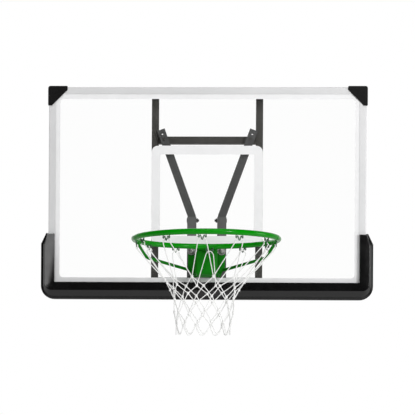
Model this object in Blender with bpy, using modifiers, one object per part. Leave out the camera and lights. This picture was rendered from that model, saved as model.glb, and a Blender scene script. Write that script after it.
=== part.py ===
"""Wall-hung basketball hoop: clear board in an aluminium frame, steel back frame, sprung ring and net.

Metres, +Z up, +X to the right as seen by a player, the wall at y = 0 and the player at -Y.
The origin is the centre of the upper crossbar's rear face, which lies on the wall.
"""

import math

import bmesh
import bpy
from mathutils import Matrix, Vector

# General fits
FIT = 0.0003
HOLE_CLEARANCE = 0.0004
CUT_MARGIN = 0.01

# Board frame
BOARD_WIDTH = 1.120
BOARD_HEIGHT = 0.7165
BOARD_TOP = 0.1813
RAIL_WIDTH = 0.025
RAIL_WALL = 0.002
RAIL_LIP = 0.0015
PANEL_THICK = 0.004
PANEL_BITE = 0.018

# Printed lines on the panel
PRINT_THICK = 0.0003
BORDER_SIDE = 0.0147
BORDER_TOP = 0.0168
BORDER_BOTTOM = 0.0184
BORDER_CORNER_RADIUS = 0.012
TARGET_WIDTH = 0.392
TARGET_HEIGHT = 0.3485
TARGET_LINE = 0.0305
TARGET_CORNER_RADIUS = 0.022
TARGET_ABOVE_RING = 0.0205

# Corner caps
CAP_LEG = 0.069
CAP_TIP = 0.0135
CAP_CORNER_RADIUS = 0.008
CAP_ROUNDING = 0.0035
CAP_FACE = 0.003
CAP_SKIRT = 0.003
CAP_SKIRT_DEPTH = 0.016

# Bottom pad
PAD_OVERHANG_SIDE = 0.0266
PAD_OVERHANG_BOTTOM = 0.0327
PAD_LAP_SIDE = 0.0233
PAD_LAP_BOTTOM = 0.0264
PAD_FACE_THICK = 0.014
PAD_TOP_ABOVE_RING = 0.0603
PAD_TOP_SLOPE_WIDTH = 0.018
PAD_TOP_SLOPE_HEIGHT = 0.038
PAD_CORNER_RADIUS = 0.047
PAD_LIP_SIDE = 0.0055
PAD_LIP_BOTTOM = 0.0112
PAD_BEVEL_SIDE = 0.010
PAD_BEVEL_BOTTOM = 0.0189
PAD_LIP_DEPTH = 0.024
PAD_LIP_STEP = 0.0015
PAD_FACE_LEAN = 0.0025

# Steel back frame
TUBE = 0.025
TUBE_WALL = 0.0015
UPRIGHT_SPACING = 0.370
UPRIGHT_END_GAP = 0.002
LOWER_BAR_RISE = 0.0345
WALL_HOLE_RADIUS = 0.0045
WALL_HOLE_INSET = 0.110

# Ring posts and struts
POST_SPACING = 0.106
POST_WIDTH = 0.0325
POST_DEPTH = 0.026
POST_WALL = 0.002
POST_TOP_ABOVE_RING = 0.1187
STRUT_DEPTH = 0.020
STRUT_WALL = 0.0015
STRUT_HEAD_INSET = 0.0326
STRUT_BEND_ABOVE_POST = 0.003
STRUT_FOOT = 0.034
STRUT_OVER_BAR = 0.033
STRUT_SPARE_HOLE_RADIUS = 0.0037
STRUT_SPARE_HOLE_OFFSET = 0.0185
STRUT_FOOT_BOLT_DROP = 0.011
STRUT_FOOT_HEAD_HEIGHT = 0.0015

# Ring
RING_ABOVE_BOARD_BOTTOM = 0.1405
RING_INSIDE_DIAMETER = 0.450
RING_GAP = 0.151
ROD_RADIUS = 0.009
HOOK_COUNT = 12
HOOK_START_ANGLE = math.radians(-2.8)
HOOK_WIRE_RADIUS = 0.0016
HOOK_INSET = 0.007
HOOK_DROP = 0.0207
# Half of a hook's wire, from its middle out: distance along the rod, then share of the hook's drop
HOOK_HALF_SHAPE = (
    (0.0010, 0.987),
    (0.0020, 0.903),
    (0.0046, 0.464),
    (0.0056, 0.380),
    (0.0076, 0.380),
    (0.0086, 0.464),
    (0.0086, 0.560),
    (0.0096, 0.644),
    (0.0116, 0.644),
    (0.0126, 0.560),
    (0.0110, 0.0),
)

# Ring mount
PLATE_THICK = 0.003
PLATE_HALF_WIDTH = 0.065
PLATE_TOP_ABOVE_RING = 0.016
PLATE_SHOULDER_BELOW_RING = 0.058
PLATE_BOTTOM_BELOW_RING = 0.0957
PLATE_TOE_HALF_WIDTH = 0.047
RING_BOLT_BELOW_RING = 0.002
RING_WASHER_RADIUS = 0.0155
RING_WASHER_THICK = 0.002
RING_BOLT_DOME_RADIUS = 0.0105
RING_BOLT_DOME_HEIGHT = 0.006
EAR_THICK = 0.003
EAR_RADIUS = 0.008
HINGE_BELOW_RING = 0.0885
HINGE_FORWARD = 0.016
HINGE_PIN_RADIUS = 0.004
PIN_HEAD_RADIUS = 0.0065
PIN_HEAD_HEIGHT = 0.0025
PIN_PAST_CLIP = 0.003
CLIP_RADIUS = 0.007
CLIP_THICK = 0.0015

# Moving bracket and its cover
WING_TOP_BELOW_RING = 0.0195
WING_BOTTOM_BELOW_RING = 0.0765
WING_BOTTOM_SLOPE = 0.001
FLANGE_PAST_HINGE = 0.002
TONGUE_THICK = 0.004
TONGUE_NECK_HALF_WIDTH = 0.034
TONGUE_NECK_LENGTH = 0.0115
TONGUE_NOSE_HALF_WIDTH = 0.030
COVER_HALF_WIDTH = 0.038
COVER_WALL = 0.0025
COVER_DEPTH = 0.123
COVER_BOTTOM_BELOW_RING = 0.0965
COVER_ROUNDING = 0.010
SPRING_BELOW_RING = 0.047

# Breakaway spring
SPRING_WIRE_RADIUS = 0.0016
SPRING_MEAN_RADIUS = 0.010
SPRING_LENGTH = 0.050
SPRING_TURNS = 6
SPRING_POINTS_PER_TURN = 10
SPRING_WASHER_RADIUS = 0.013
SPRING_WASHER_THICK = 0.002
STUD_RADIUS = 0.0045
STUD_SLOT_HEIGHT = 0.020
STUD_SLOT_CLEARANCE = 0.0015
STUD_PAST_NUT = 0.002
SPRING_NUT_RADIUS = 0.0085
SPRING_NUT_HEIGHT = 0.007

# Braces
BRACE_RADIUS = 0.0053
BRACE_RING_ANGLE = math.radians(80)
BRACE_BEND = (0.1975, 0.258, -0.050)
BRACE_BEND_RADIUS = 0.030
BRACE_WING_X = 0.0595
BRACE_WING_BELOW_RING = 0.070

# Net, as heights below the ring's plane and radii about the ring's axis
NET_CORD = 0.0030
NET_SQUARENESS = 0.8
NET_ARCH_HALF_WIDTH = 0.011
NET_ARCH_BELOW_RING = 0.0175
NET_ARCH_HEIGHT = 0.008
NET_ARCH_SHOULDER = 0.001
NET_KNOT_DROPS = (0.136, 0.164, 0.1952, 0.2375, 0.272)
NET_KNOT_RADII = (0.131, 0.112, 0.0985, 0.0955, 0.0905)
NET_HEM_DROP = 0.3097
NET_HEM_RADIUS = 0.0877
NET_HEM_HALF_WIDTH = 0.010
NET_HEM_RISE = 0.014
NET_HEM_SHOULDER = 0.003
NET_LEAN = 0.0085
NET_TWIST = math.radians(5.5)
NET_TIP = 0.024

# Fasteners: shank radius, head radius across corners, head height
M6 = (0.003, 0.0058, 0.004)
M8 = (0.004, 0.0075, 0.005)
PAST_NUT = 0.002
DRIVER_CLEARANCE = 0.0015

# Places worked out from the sizes above
BOARD_BOTTOM = BOARD_TOP - BOARD_HEIGHT
HALF_WIDTH = BOARD_WIDTH / 2
RING_Z = BOARD_BOTTOM + RING_ABOVE_BOARD_BOTTOM
RAIL_BACK = TUBE + FIT
PANEL_SLOT = PANEL_THICK + 2 * FIT
RAIL_DEPTH = RAIL_LIP + PANEL_SLOT + POST_DEPTH
RAIL_FRONT = RAIL_BACK + RAIL_DEPTH
PANEL_FRONT = RAIL_FRONT - RAIL_LIP - FIT
PANEL_BACK = PANEL_FRONT - PANEL_THICK
POST_FRONT = PANEL_BACK - FIT
POST_X = POST_SPACING / 2
POST_TOP = RING_Z + POST_TOP_ABOVE_RING
UPRIGHT_X = UPRIGHT_SPACING / 2
LOWER_BAR_Z = BOARD_BOTTOM + LOWER_BAR_RISE
STRUT_WIDTH = POST_WIDTH - 2 * POST_WALL - 2 * FIT
STRUT_BACK = TUBE + FIT
STRUT_FRONT = STRUT_BACK + STRUT_DEPTH
STRUT_BEND_Z = POST_TOP + STRUT_BEND_ABOVE_POST
STRUT_BAR_X = UPRIGHT_X - STRUT_HEAD_INSET
STRUT_ANGLE = math.atan2(STRUT_BAR_X - POST_X, -STRUT_BEND_Z)
RING_RADIUS = RING_INSIDE_DIAMETER / 2 + ROD_RADIUS
RING_FORWARD = PANEL_FRONT + RING_GAP + RING_INSIDE_DIAMETER / 2
RING_CENTRE = Vector((0, -RING_FORWARD, RING_Z))
PLATE_BACK = PANEL_FRONT + FIT
PLATE_FRONT = PLATE_BACK + PLATE_THICK
FLANGE_BACK = PLATE_FRONT + FIT
FLANGE_FRONT = FLANGE_BACK + PLATE_THICK
HINGE_Z = RING_Z - HINGE_BELOW_RING
HINGE_Y = -(PANEL_FRONT + HINGE_FORWARD)
TONGUE_TOP = RING_Z - ROD_RADIUS - FIT
TONGUE_BOTTOM = TONGUE_TOP - TONGUE_THICK
SPRING_Z = RING_Z - SPRING_BELOW_RING
SPRING_FRONT = FLANGE_FRONT + FIT + SPRING_LENGTH
BOLT_SIDES = 12
ROD_SIDES = 10
RING_SEGMENTS = 64

COLOURS = {
    "clear_plastic": ((0.92, 0.95, 0.95), 0.05, 0.0),
    "white_ink": ((0.86, 0.86, 0.86), 0.5, 0.0),
    "light_aluminium": ((0.68, 0.69, 0.70), 0.4, 0.3),
    "black_plastic": ((0.015, 0.015, 0.016), 0.35, 0.0),
    "black_foam": ((0.018, 0.018, 0.019), 0.4, 0.0),
    "dark_steel": ((0.06, 0.058, 0.055), 0.5, 0.2),
    "zinc": ((0.45, 0.45, 0.46), 0.35, 0.9),
    "green_paint": ((0.004, 0.20, 0.012), 0.3, 0.0),
    "white_cord": ((0.85, 0.85, 0.84), 0.9, 0.0),
    "spring_steel": ((0.25, 0.25, 0.27), 0.3, 0.9),
}


def start_scene():
    for obj in list(bpy.data.objects):
        bpy.data.objects.remove(obj, do_unlink=True)
    for name in ("basketball_hoop", "cutters"):
        collection = bpy.data.collections.new(name)
        bpy.context.scene.collection.children.link(collection)


def material(name):
    found = bpy.data.materials.get(name)
    if found:
        return found
    colour, roughness, metallic = COLOURS[name]
    made = bpy.data.materials.new(name)
    made.use_nodes = True
    shader = made.node_tree.nodes["Principled BSDF"]
    shader.inputs["Base Color"].default_value = (*colour, 1.0)
    shader.inputs["Roughness"].default_value = roughness
    shader.inputs["Metallic"].default_value = metallic
    return made


def add_object(name, data, slot=None):
    """A named piece, or a cutter when it has no material."""
    obj = bpy.data.objects.new(name, data)
    if slot:
        bpy.data.collections["basketball_hoop"].objects.link(obj)
        data.materials.append(material(slot))
    else:
        bpy.data.collections["cutters"].objects.link(obj)
        obj.hide_render = True
        obj.display_type = "WIRE"
    return obj


def finish_mesh(name, shape, slot=None, smooth=False):
    mesh = bpy.data.meshes.new(name)
    shape.to_mesh(mesh)
    shape.free()
    if smooth:
        mesh.shade_smooth()
        mesh.set_sharp_from_angle(angle=math.radians(40))
    return add_object(name, mesh, slot)


def spot(x, forward, z):
    """A point given by its distance forward of the wall."""
    return Vector((x, -forward, z))


def block(name, low, high, slot=None):
    """A box between two corners given as (x, forward, z)."""
    shape = bmesh.new()
    size = [abs(high[i] - low[i]) for i in range(3)]
    centre = spot(*[(high[i] + low[i]) / 2 for i in range(3)])
    bmesh.ops.create_cube(shape, size=1.0, matrix=Matrix.Diagonal((*size, 1.0)))
    obj = finish_mesh(name, shape, slot)
    obj.location = centre
    return obj


def aim(obj, location, direction):
    obj.location = location
    obj.rotation_euler = Vector(direction).to_track_quat("Z", "Y").to_euler()


def cylinder(name, radius, length, start, direction, slot=None, sides=BOLT_SIDES, end_radius=None):
    """A cylinder or cone that runs from start along direction."""
    shape = bmesh.new()
    bmesh.ops.create_cone(
        shape,
        cap_ends=True,
        segments=sides,
        radius1=radius,
        radius2=radius if end_radius is None else end_radius,
        depth=length,
        matrix=Matrix.Translation((0, 0, length / 2)),
    )
    obj = finish_mesh(name, shape, slot, smooth=sides > 8)
    aim(obj, start, direction)
    return obj


def boolean(obj, other, operation):
    modifier = obj.modifiers.new(f"{operation.lower()} {other.name}", "BOOLEAN")
    modifier.operation = operation
    modifier.solver = "EXACT"
    modifier.object = other


def cut(obj, *cutters):
    for cutter in cutters:
        boolean(obj, cutter, "DIFFERENCE")
    return obj


def join(obj, *others):
    for other in others:
        boolean(obj, other, "UNION")
    return obj


def mesh_from_curve(name, curve, slot=None):
    """The evaluated curve as a mesh with its caps welded."""
    guide = bpy.data.objects.new(f"{name}_guide", curve)
    bpy.context.scene.collection.objects.link(guide)
    graph = bpy.context.evaluated_depsgraph_get()
    mesh = bpy.data.meshes.new_from_object(guide.evaluated_get(graph))
    matrix = guide.matrix_world.copy()
    bpy.data.objects.remove(guide, do_unlink=True)
    shape = bmesh.new()
    shape.from_mesh(mesh)
    bpy.data.meshes.remove(mesh)
    bmesh.ops.remove_doubles(shape, verts=shape.verts, dist=1e-6)
    bmesh.ops.recalc_face_normals(shape, faces=shape.faces)
    obj = finish_mesh(name, shape, slot, smooth=True)
    obj.matrix_world = matrix
    return obj


def outline_solid(name, outlines, depth, slot=None):
    """Flat outlines filled and extruded from local z = 0 to local z = depth."""
    curve = bpy.data.curves.new(name, "CURVE")
    curve.dimensions = "2D"
    curve.fill_mode = "BOTH"
    curve.extrude = depth / 2
    for points in outlines:
        spline = curve.splines.new("POLY")
        spline.points.add(len(points) - 1)
        for point, (x, y) in zip(spline.points, points):
            point.co = (x, y, 0, 1)
        spline.use_cyclic_u = True
    obj = mesh_from_curve(name, curve, slot)
    obj.data.transform(Matrix.Translation((0, 0, depth / 2)))
    return obj


def stand_outline(obj, forward):
    """Turns an outline drawn in (x, z) upright, with its extrusion running forward from there."""
    obj.rotation_euler = (math.pi / 2, 0, 0)
    obj.location = spot(0, forward, 0)
    return obj


def orient(obj, u, v, location):
    """Points local x along u and local y along v."""
    u = Vector(u)
    v = Vector(v)
    w = u.cross(v)
    turn = Matrix((u, v, w)).transposed().to_4x4()
    obj.matrix_world = Matrix.Translation(location) @ turn
    return obj


def rod(name, points, radius, resolution, slot=None):
    curve = bpy.data.curves.new(name, "CURVE")
    curve.dimensions = "3D"
    curve.bevel_depth = radius
    curve.bevel_resolution = resolution
    curve.use_fill_caps = True
    spline = curve.splines.new("POLY")
    spline.points.add(len(points) - 1)
    for point, place in zip(spline.points, points):
        point.co = (*place, 1)
    return mesh_from_curve(name, curve, slot)


def turned(name, profile, steps, slot):
    """A profile of (radius, height) points turned about local Z."""
    shape = bmesh.new()
    last = None
    for radius, height in profile:
        vert = shape.verts.new((radius, 0, height))
        if last:
            shape.edges.new((last, vert))
        last = vert
    obj = finish_mesh(name, shape, slot)
    screw = obj.modifiers.new("turn", "SCREW")
    screw.steps = steps
    screw.render_steps = steps
    screw.use_merge_vertices = True
    screw.merge_threshold = 0.00001
    screw.use_smooth_shade = True
    return obj


def rounded(corners, radius, steps=4):
    """A closed outline with every corner rounded by an arc. radius is one value, or a list of one each."""
    points = []
    count = len(corners)
    radii = radius if isinstance(radius, list) else [radius] * count
    for i, corner in enumerate(corners):
        here = Vector(corner)
        before = (Vector(corners[i - 1]) - here).normalized()
        after = (Vector(corners[(i + 1) % count]) - here).normalized()
        half = before.angle(after) / 2
        reach = radii[i] / math.tan(half)
        centre = here + (before + after).normalized() * (radii[i] / math.sin(half))
        first = here + before * reach - centre
        last = here + after * reach - centre
        turn = first.angle_signed(last)
        for step in range(steps + 1):
            angle = -turn * step / steps
            spun = Matrix.Rotation(angle, 2) @ first
            points.append(tuple(centre + spun))
    return points


def rectangle(left, right, bottom, top):
    return [(left, bottom), (right, bottom), (right, top), (left, top)]


def hex_bolt(name, size, length, start, direction, slot):
    """A hexagon head with its underside at start, and its shank along direction."""
    shank_radius, head_radius, head_height = size
    along = Vector(direction).normalized()
    head = cylinder(name, head_radius, head_height, start - along * head_height, along, slot, 6)
    overlap = head_height / 2
    shank = cylinder(f"{name}_shank", shank_radius, length + overlap, start - along * overlap, along)
    return join(head, shank)


def hex_nut(name, size, start, direction, slot):
    shank_radius, head_radius, head_height = size
    along = Vector(direction).normalized()
    nut = cylinder(name, head_radius, head_height, start, along, slot, 6)
    hole = bolt_hole(f"{name}_hole", shank_radius, start, along, head_height)
    return cut(nut, hole)


def bolt_hole(name, shank_radius, start, direction, length):
    """A cutter with clearance round a shank, running past both ends of its length."""
    along = Vector(direction).normalized()
    begin = Vector(start) - along * CUT_MARGIN / 10
    return cylinder(name, shank_radius + HOLE_CLEARANCE, length + CUT_MARGIN / 5, begin, along)


FORWARD = Vector((0, -1, 0))
BACKWARD = Vector((0, 1, 0))
SIDES = (("left", -1), ("right", 1))


def build_rails():
    slot_back = RAIL_LIP + PANEL_SLOT
    rib_back = slot_back + RAIL_LIP
    profile = [
        (0, 0),
        (RAIL_WIDTH, 0),
        (RAIL_WIDTH, RAIL_LIP),
        (RAIL_WALL, RAIL_LIP),
        (RAIL_WALL, slot_back),
        (RAIL_WIDTH, slot_back),
        (RAIL_WIDTH, rib_back),
        (RAIL_WALL, rib_back),
        (RAIL_WALL, RAIL_DEPTH - RAIL_LIP),
        (RAIL_WIDTH, RAIL_DEPTH - RAIL_LIP),
        (RAIL_WIDTH, RAIL_DEPTH),
        (0, RAIL_DEPTH),
    ]
    rails = (
        ("rail_top", (0, 0, -1), BOARD_WIDTH, spot(-HALF_WIDTH, RAIL_FRONT, BOARD_TOP)),
        ("rail_bottom", (0, 0, 1), BOARD_WIDTH, spot(HALF_WIDTH, RAIL_FRONT, BOARD_BOTTOM)),
        ("rail_left", (1, 0, 0), BOARD_HEIGHT, spot(-HALF_WIDTH, RAIL_FRONT, BOARD_BOTTOM)),
        ("rail_right", (-1, 0, 0), BOARD_HEIGHT, spot(HALF_WIDTH, RAIL_FRONT, BOARD_TOP)),
    )
    for name, inward, length, corner in rails:
        rail = outline_solid(name, [profile], length, "light_aluminium")
        orient(rail, inward, (0, 1, 0), corner)
        for side, sx in SIDES:
            for level, sz in (("top", 1), ("bottom", -1)):
                if name in (f"rail_{side}", f"rail_{level}"):
                    cut(rail, mitre_cutter(name, side, sx, level, sz))
        if name in ("rail_top", "rail_bottom"):
            level = name[5:]
            for side, sx in SIDES:
                start = spot(sx * UPRIGHT_X, RAIL_BACK, upright_bolt_z(level))
                cut(rail, bolt_hole(f"{name}_hole_{side}", M6[0], start, FORWARD, RAIL_LIP))


def mitre_cutter(rail, side, sx, level, sz):
    """A cube turned on edge that takes off the far side of a corner's diagonal."""
    half = RAIL_WIDTH + RAIL_DEPTH
    away = 1 if rail in ("rail_top", "rail_bottom") else -1
    across = Vector((sx, 0, -sz)).normalized() * away
    corner = spot(sx * HALF_WIDTH, RAIL_FRONT - RAIL_DEPTH / 2, BOARD_TOP if sz > 0 else BOARD_BOTTOM)
    shape = bmesh.new()
    bmesh.ops.create_cube(shape, size=2 * half)
    cutter = finish_mesh(f"{rail}_mitre_{side}_{level}", shape)
    cutter.rotation_euler = (0, math.pi / 4, 0)
    cutter.location = corner + across * (half - FIT / 2)
    return cutter


def upright_bolt_z(level):
    if level == "top":
        return BOARD_TOP - RAIL_WIDTH / 2
    return BOARD_BOTTOM + RAIL_WIDTH / 2


def build_panel():
    inset = RAIL_WIDTH - PANEL_BITE
    panel = block(
        "board_panel",
        (-HALF_WIDTH + inset, PANEL_BACK, BOARD_BOTTOM + inset),
        (HALF_WIDTH - inset, PANEL_FRONT, BOARD_TOP - inset),
        "clear_plastic",
    )
    for side, sx in SIDES:
        start = spot(sx * POST_X, PANEL_BACK, RING_Z - RING_BOLT_BELOW_RING)
        cut(panel, bolt_hole(f"panel_hole_{side}", M8[0], start, FORWARD, PANEL_THICK))


def build_prints():
    side = HALF_WIDTH - RAIL_WIDTH - FIT
    top = BOARD_TOP - RAIL_WIDTH - FIT
    bottom = BOARD_BOTTOM + RAIL_WIDTH + FIT
    outer = rectangle(-side, side, bottom, top)
    inner = rectangle(-side + BORDER_SIDE, side - BORDER_SIDE, bottom + BORDER_BOTTOM, top - BORDER_TOP)
    border = outline_solid(
        "border_print", [outer, rounded(inner, BORDER_CORNER_RADIUS)], PRINT_THICK, "white_ink"
    )
    stand_outline(border, PANEL_FRONT + FIT)

    low = RING_Z + TARGET_ABOVE_RING
    half = TARGET_WIDTH / 2
    outer = rectangle(-half, half, low, low + TARGET_HEIGHT)
    inner = rectangle(
        -half + TARGET_LINE, half - TARGET_LINE, low + TARGET_LINE, low + TARGET_HEIGHT - TARGET_LINE
    )
    target = outline_solid(
        "target_print", [rounded(outer, TARGET_CORNER_RADIUS), inner], PRINT_THICK, "white_ink"
    )
    stand_outline(target, PANEL_FRONT + FIT)


def build_corner_caps():
    for side, sx in SIDES:
        edge = HALF_WIDTH + FIT + CAP_SKIRT
        top = BOARD_TOP + FIT + CAP_SKIRT
        corners = [
            (sx * edge, top),
            (sx * (edge - CAP_LEG), top),
            (sx * (edge - CAP_LEG), top - CAP_TIP),
            (sx * (edge - CAP_TIP), top - CAP_LEG),
            (sx * edge, top - CAP_LEG),
        ]
        radii = [CAP_CORNER_RADIUS] + [CAP_ROUNDING] * (len(corners) - 1)
        if sx > 0:
            corners.reverse()
            radii.reverse()
        depth = CAP_FACE + CAP_SKIRT_DEPTH
        cap = outline_solid(f"corner_cap_{side}", [rounded(corners, radii)], depth, "black_plastic")
        stand_outline(cap, RAIL_FRONT + FIT - CAP_SKIRT_DEPTH)
        seat = block(
            f"cap_seat_{side}",
            (sx * (HALF_WIDTH + FIT), RAIL_BACK, BOARD_BOTTOM),
            (0, RAIL_FRONT + FIT, BOARD_TOP + FIT),
        )
        cut(cap, seat)


def pad_outline(inset_side, inset_bottom, inset_top):
    """The right half of the pad's outline, from the middle of its inner edge round to its underside."""
    inner_x = HALF_WIDTH - PAD_LAP_SIDE
    inner_z = BOARD_BOTTOM + PAD_LAP_BOTTOM
    outer_x = HALF_WIDTH + PAD_OVERHANG_SIDE - inset_side
    bottom = BOARD_BOTTOM - PAD_OVERHANG_BOTTOM + inset_bottom
    top = RING_Z + PAD_TOP_ABOVE_RING - inset_top
    radius = PAD_CORNER_RADIUS - (inset_side + inset_bottom) / 2
    points = [
        (0, inner_z),
        (inner_x, inner_z),
        (inner_x, top),
        (outer_x - PAD_TOP_SLOPE_WIDTH + inset_side / 2, top),
        (outer_x, top - PAD_TOP_SLOPE_HEIGHT),
    ]
    steps = 8
    for step in range(steps + 1):
        angle = math.pi / 2 * step / steps
        x = outer_x - radius + radius * math.cos(angle)
        points.append((x, bottom + radius - radius * math.sin(angle)))
    points.append((0, bottom))
    return points


def pad_face(points):
    """The front face's depths: it leans back from its inner edge to its outer edges."""
    inner_x, inner_z = points[1]
    outer_x = points[4][0]
    front = RAIL_FRONT + FIT + PAD_FACE_THICK
    depths = []
    for x, z in points:
        share = (outer_x - max(x, inner_x)) / (outer_x - inner_x) if z >= inner_z else 0.0
        depths.append(front + PAD_FACE_LEAN * share)
    return depths


def build_pad():
    """Levels from the back edge to the front face, joined into one half and mirrored."""
    front = RAIL_FRONT + FIT + PAD_FACE_THICK
    lip = RAIL_BACK + PAD_LIP_DEPTH
    face_side = PAD_LIP_SIDE + PAD_BEVEL_SIDE
    face_bottom = PAD_LIP_BOTTOM + PAD_BEVEL_BOTTOM
    levels = (
        (RAIL_BACK, pad_outline(0, 0, 0)),
        (lip, pad_outline(0, 0, 0)),
        (lip + PAD_LIP_STEP, pad_outline(PAD_LIP_SIDE, PAD_LIP_BOTTOM, PAD_LIP_STEP)),
        (front, pad_outline(face_side, face_bottom, PAD_LIP_SIDE)),
    )
    shape = bmesh.new()
    rings = [[shape.verts.new(spot(x, forward, z)) for x, z in points] for forward, points in levels]
    face = rings[-1]
    for vert, forward in zip(face, pad_face(levels[-1][1])):
        vert.co.y = -forward
    for near, far in zip(rings, rings[1:]):
        for i in range(len(near) - 1):
            shape.faces.new((near[i], near[i + 1], far[i + 1], far[i]))
    shape.faces.new(rings[0])
    corner = face[1]
    leg_end = 5
    shape.faces.new(face[1 : leg_end + 1])
    for i in range(leg_end, len(face) - 2):
        shape.faces.new((corner, face[i], face[i + 1]))
    shape.faces.new((face[0], corner, face[-2], face[-1]))
    bmesh.ops.recalc_face_normals(shape, faces=shape.faces)
    pad = finish_mesh("bottom_pad", shape, "black_foam", smooth=True)
    mirror = pad.modifiers.new("other half", "MIRROR")
    mirror.merge_threshold = 0.00001
    seat = block(
        "pad_seat",
        (-HALF_WIDTH - FIT, 0, BOARD_BOTTOM - FIT),
        (HALF_WIDTH + FIT, RAIL_FRONT + FIT, BOARD_TOP),
    )
    cut(pad, seat)


def square_tube(name, low, high, axis):
    """A steel tube open at both ends of the given axis."""
    tube = block(name, low, high, "dark_steel")
    inner_low = []
    inner_high = []
    for i in range(3):
        shift = -CUT_MARGIN if i == axis else TUBE_WALL
        inner_low.append(min(low[i], high[i]) + shift)
        inner_high.append(max(low[i], high[i]) - shift)
    return cut(tube, block(f"{name}_bore", inner_low, inner_high))


def inner_fastener(name, side, tube, x, z):
    """Holes for a bolt through a tube's front wall, reached through its rear wall."""
    front = bolt_hole(f"{name}_hole_{side}", M6[0], spot(x, TUBE - TUBE_WALL, z), FORWARD, TUBE_WALL)
    reach = cylinder(
        f"{name}_access_{side}", M6[1] + DRIVER_CLEARANCE, TUBE_WALL * 3, spot(x, -TUBE_WALL, z), FORWARD
    )
    cut(tube, front, reach)


def build_back_frame():
    bottom = BOARD_BOTTOM + UPRIGHT_END_GAP
    top = BOARD_TOP - UPRIGHT_END_GAP
    for side, sx in SIDES:
        x = sx * UPRIGHT_X
        upright = square_tube(
            f"upright_{side}", (x - TUBE / 2, 0, bottom), (x + TUBE / 2, TUBE, top), 2
        )
        for level in ("top", "bottom"):
            z = upright_bolt_z(level)
            inner_fastener(f"upright_{level}", side, upright, x, z)
            head = TUBE - TUBE_WALL - FIT
            nut_back = RAIL_BACK + RAIL_LIP + FIT
            length = nut_back + M6[2] + PAST_NUT - head
            hex_bolt(f"upright_bolt_{level}_{side}", M6, length, spot(x, head, z), FORWARD, "zinc")
            hex_nut(f"upright_nut_{level}_{side}", M6, spot(x, nut_back, z), FORWARD, "zinc")
        for level, z in (("top", top - WALL_HOLE_INSET), ("bottom", bottom + WALL_HOLE_INSET)):
            hole = cylinder(
                f"wall_hole_{level}_{side}", WALL_HOLE_RADIUS, TUBE_WALL * 3, spot(x, -TUBE_WALL, z), FORWARD
            )
            cut(upright, hole)

    reach = UPRIGHT_X - TUBE / 2 - FIT
    for name, z in (("crossbar_upper", 0), ("crossbar_lower", LOWER_BAR_Z)):
        bar = square_tube(name, (-reach, 0, z - TUBE / 2), (reach, TUBE, z + TUBE / 2), 0)
        for side, sx in SIDES:
            if name == "crossbar_upper":
                inner_fastener("strut_head", side, bar, sx * STRUT_BAR_X, 0)
            else:
                inner_fastener("post_foot", side, bar, sx * POST_X, post_foot_z())


def post_foot_z():
    """Height of the screw where a post laps the lower crossbar."""
    return (LOWER_BAR_Z + TUBE / 2 + BOARD_BOTTOM + RAIL_WIDTH + FIT) / 2


def build_posts():
    bottom = BOARD_BOTTOM + RAIL_WIDTH + FIT
    half = POST_WIDTH / 2
    profile = [
        (-half, 0),
        (half, 0),
        (half, POST_DEPTH),
        (half - POST_WALL, POST_DEPTH),
        (half - POST_WALL, POST_WALL),
        (-half + POST_WALL, POST_WALL),
        (-half + POST_WALL, POST_DEPTH),
        (-half, POST_DEPTH),
    ]
    web_back = POST_FRONT - POST_WALL
    for side, sx in SIDES:
        x = sx * POST_X
        post = outline_solid(f"ring_post_{side}", [profile], POST_TOP - bottom, "dark_steel")
        orient(post, (1, 0, 0), (0, 1, 0), spot(x, POST_FRONT, bottom))
        bolt_z = RING_Z - RING_BOLT_BELOW_RING
        cut(
            post,
            bolt_hole(f"post_ring_hole_{side}", M8[0], spot(x, web_back, bolt_z), FORWARD, POST_WALL),
            bolt_hole(
                f"post_strut_hole_{side}",
                M8[0],
                (x - half, strut_bolt_y(), strut_bolt_z()),
                (1, 0, 0),
                POST_WIDTH,
            ),
        )
        build_post_screw(side, x, post)


def build_post_screw(side, x, post):
    """A countersunk screw from the web into the lower crossbar, with its nut inside the bar."""
    shank_radius, head_radius, nut_height = M6
    z = post_foot_z()
    sink = cylinder(
        f"post_sink_{side}",
        head_radius + HOLE_CLEARANCE,
        POST_WALL + 2 * FIT,
        spot(x, POST_FRONT + FIT, z),
        BACKWARD,
        end_radius=shank_radius + HOLE_CLEARANCE,
    )
    cut(post, sink)
    nut_front = TUBE - TUBE_WALL - FIT
    end = nut_front - nut_height - PAST_NUT
    profile = [
        (0, 0),
        (head_radius - FIT, 0),
        (shank_radius, -POST_WALL + FIT),
        (shank_radius, end - POST_FRONT),
        (0, end - POST_FRONT),
    ]
    screw = turned(f"post_foot_screw_{side}", profile, BOLT_SIDES, "zinc")
    aim(screw, spot(x, POST_FRONT - FIT, z), FORWARD)
    hex_nut(f"post_foot_nut_{side}", M6, spot(x, nut_front, z), BACKWARD, "zinc")


def strut_bolt_z():
    return POST_TOP - STRUT_FOOT_BOLT_DROP


def strut_bolt_y():
    return -(STRUT_BACK + STRUT_FRONT) / 2


def strut_outline(half, overrun):
    """A strip bent once at the post's head, drawn for the right-hand strut."""
    run = Vector((math.sin(STRUT_ANGLE), math.cos(STRUT_ANGLE)))
    across = Vector((math.cos(STRUT_ANGLE), -math.sin(STRUT_ANGLE)))
    bend = Vector((POST_X, STRUT_BEND_Z))
    top = bend + run * ((STRUT_OVER_BAR - STRUT_BEND_Z) / math.cos(STRUT_ANGLE) + overrun)
    foot = STRUT_BEND_Z - STRUT_FOOT - overrun
    mitre = half * math.tan(STRUT_ANGLE / 2)
    return [
        (POST_X - half, foot),
        (POST_X + half, foot),
        (POST_X + half, STRUT_BEND_Z - mitre),
        tuple(top + across * half),
        tuple(top - across * half),
        (POST_X - half, STRUT_BEND_Z + mitre),
    ]


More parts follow.
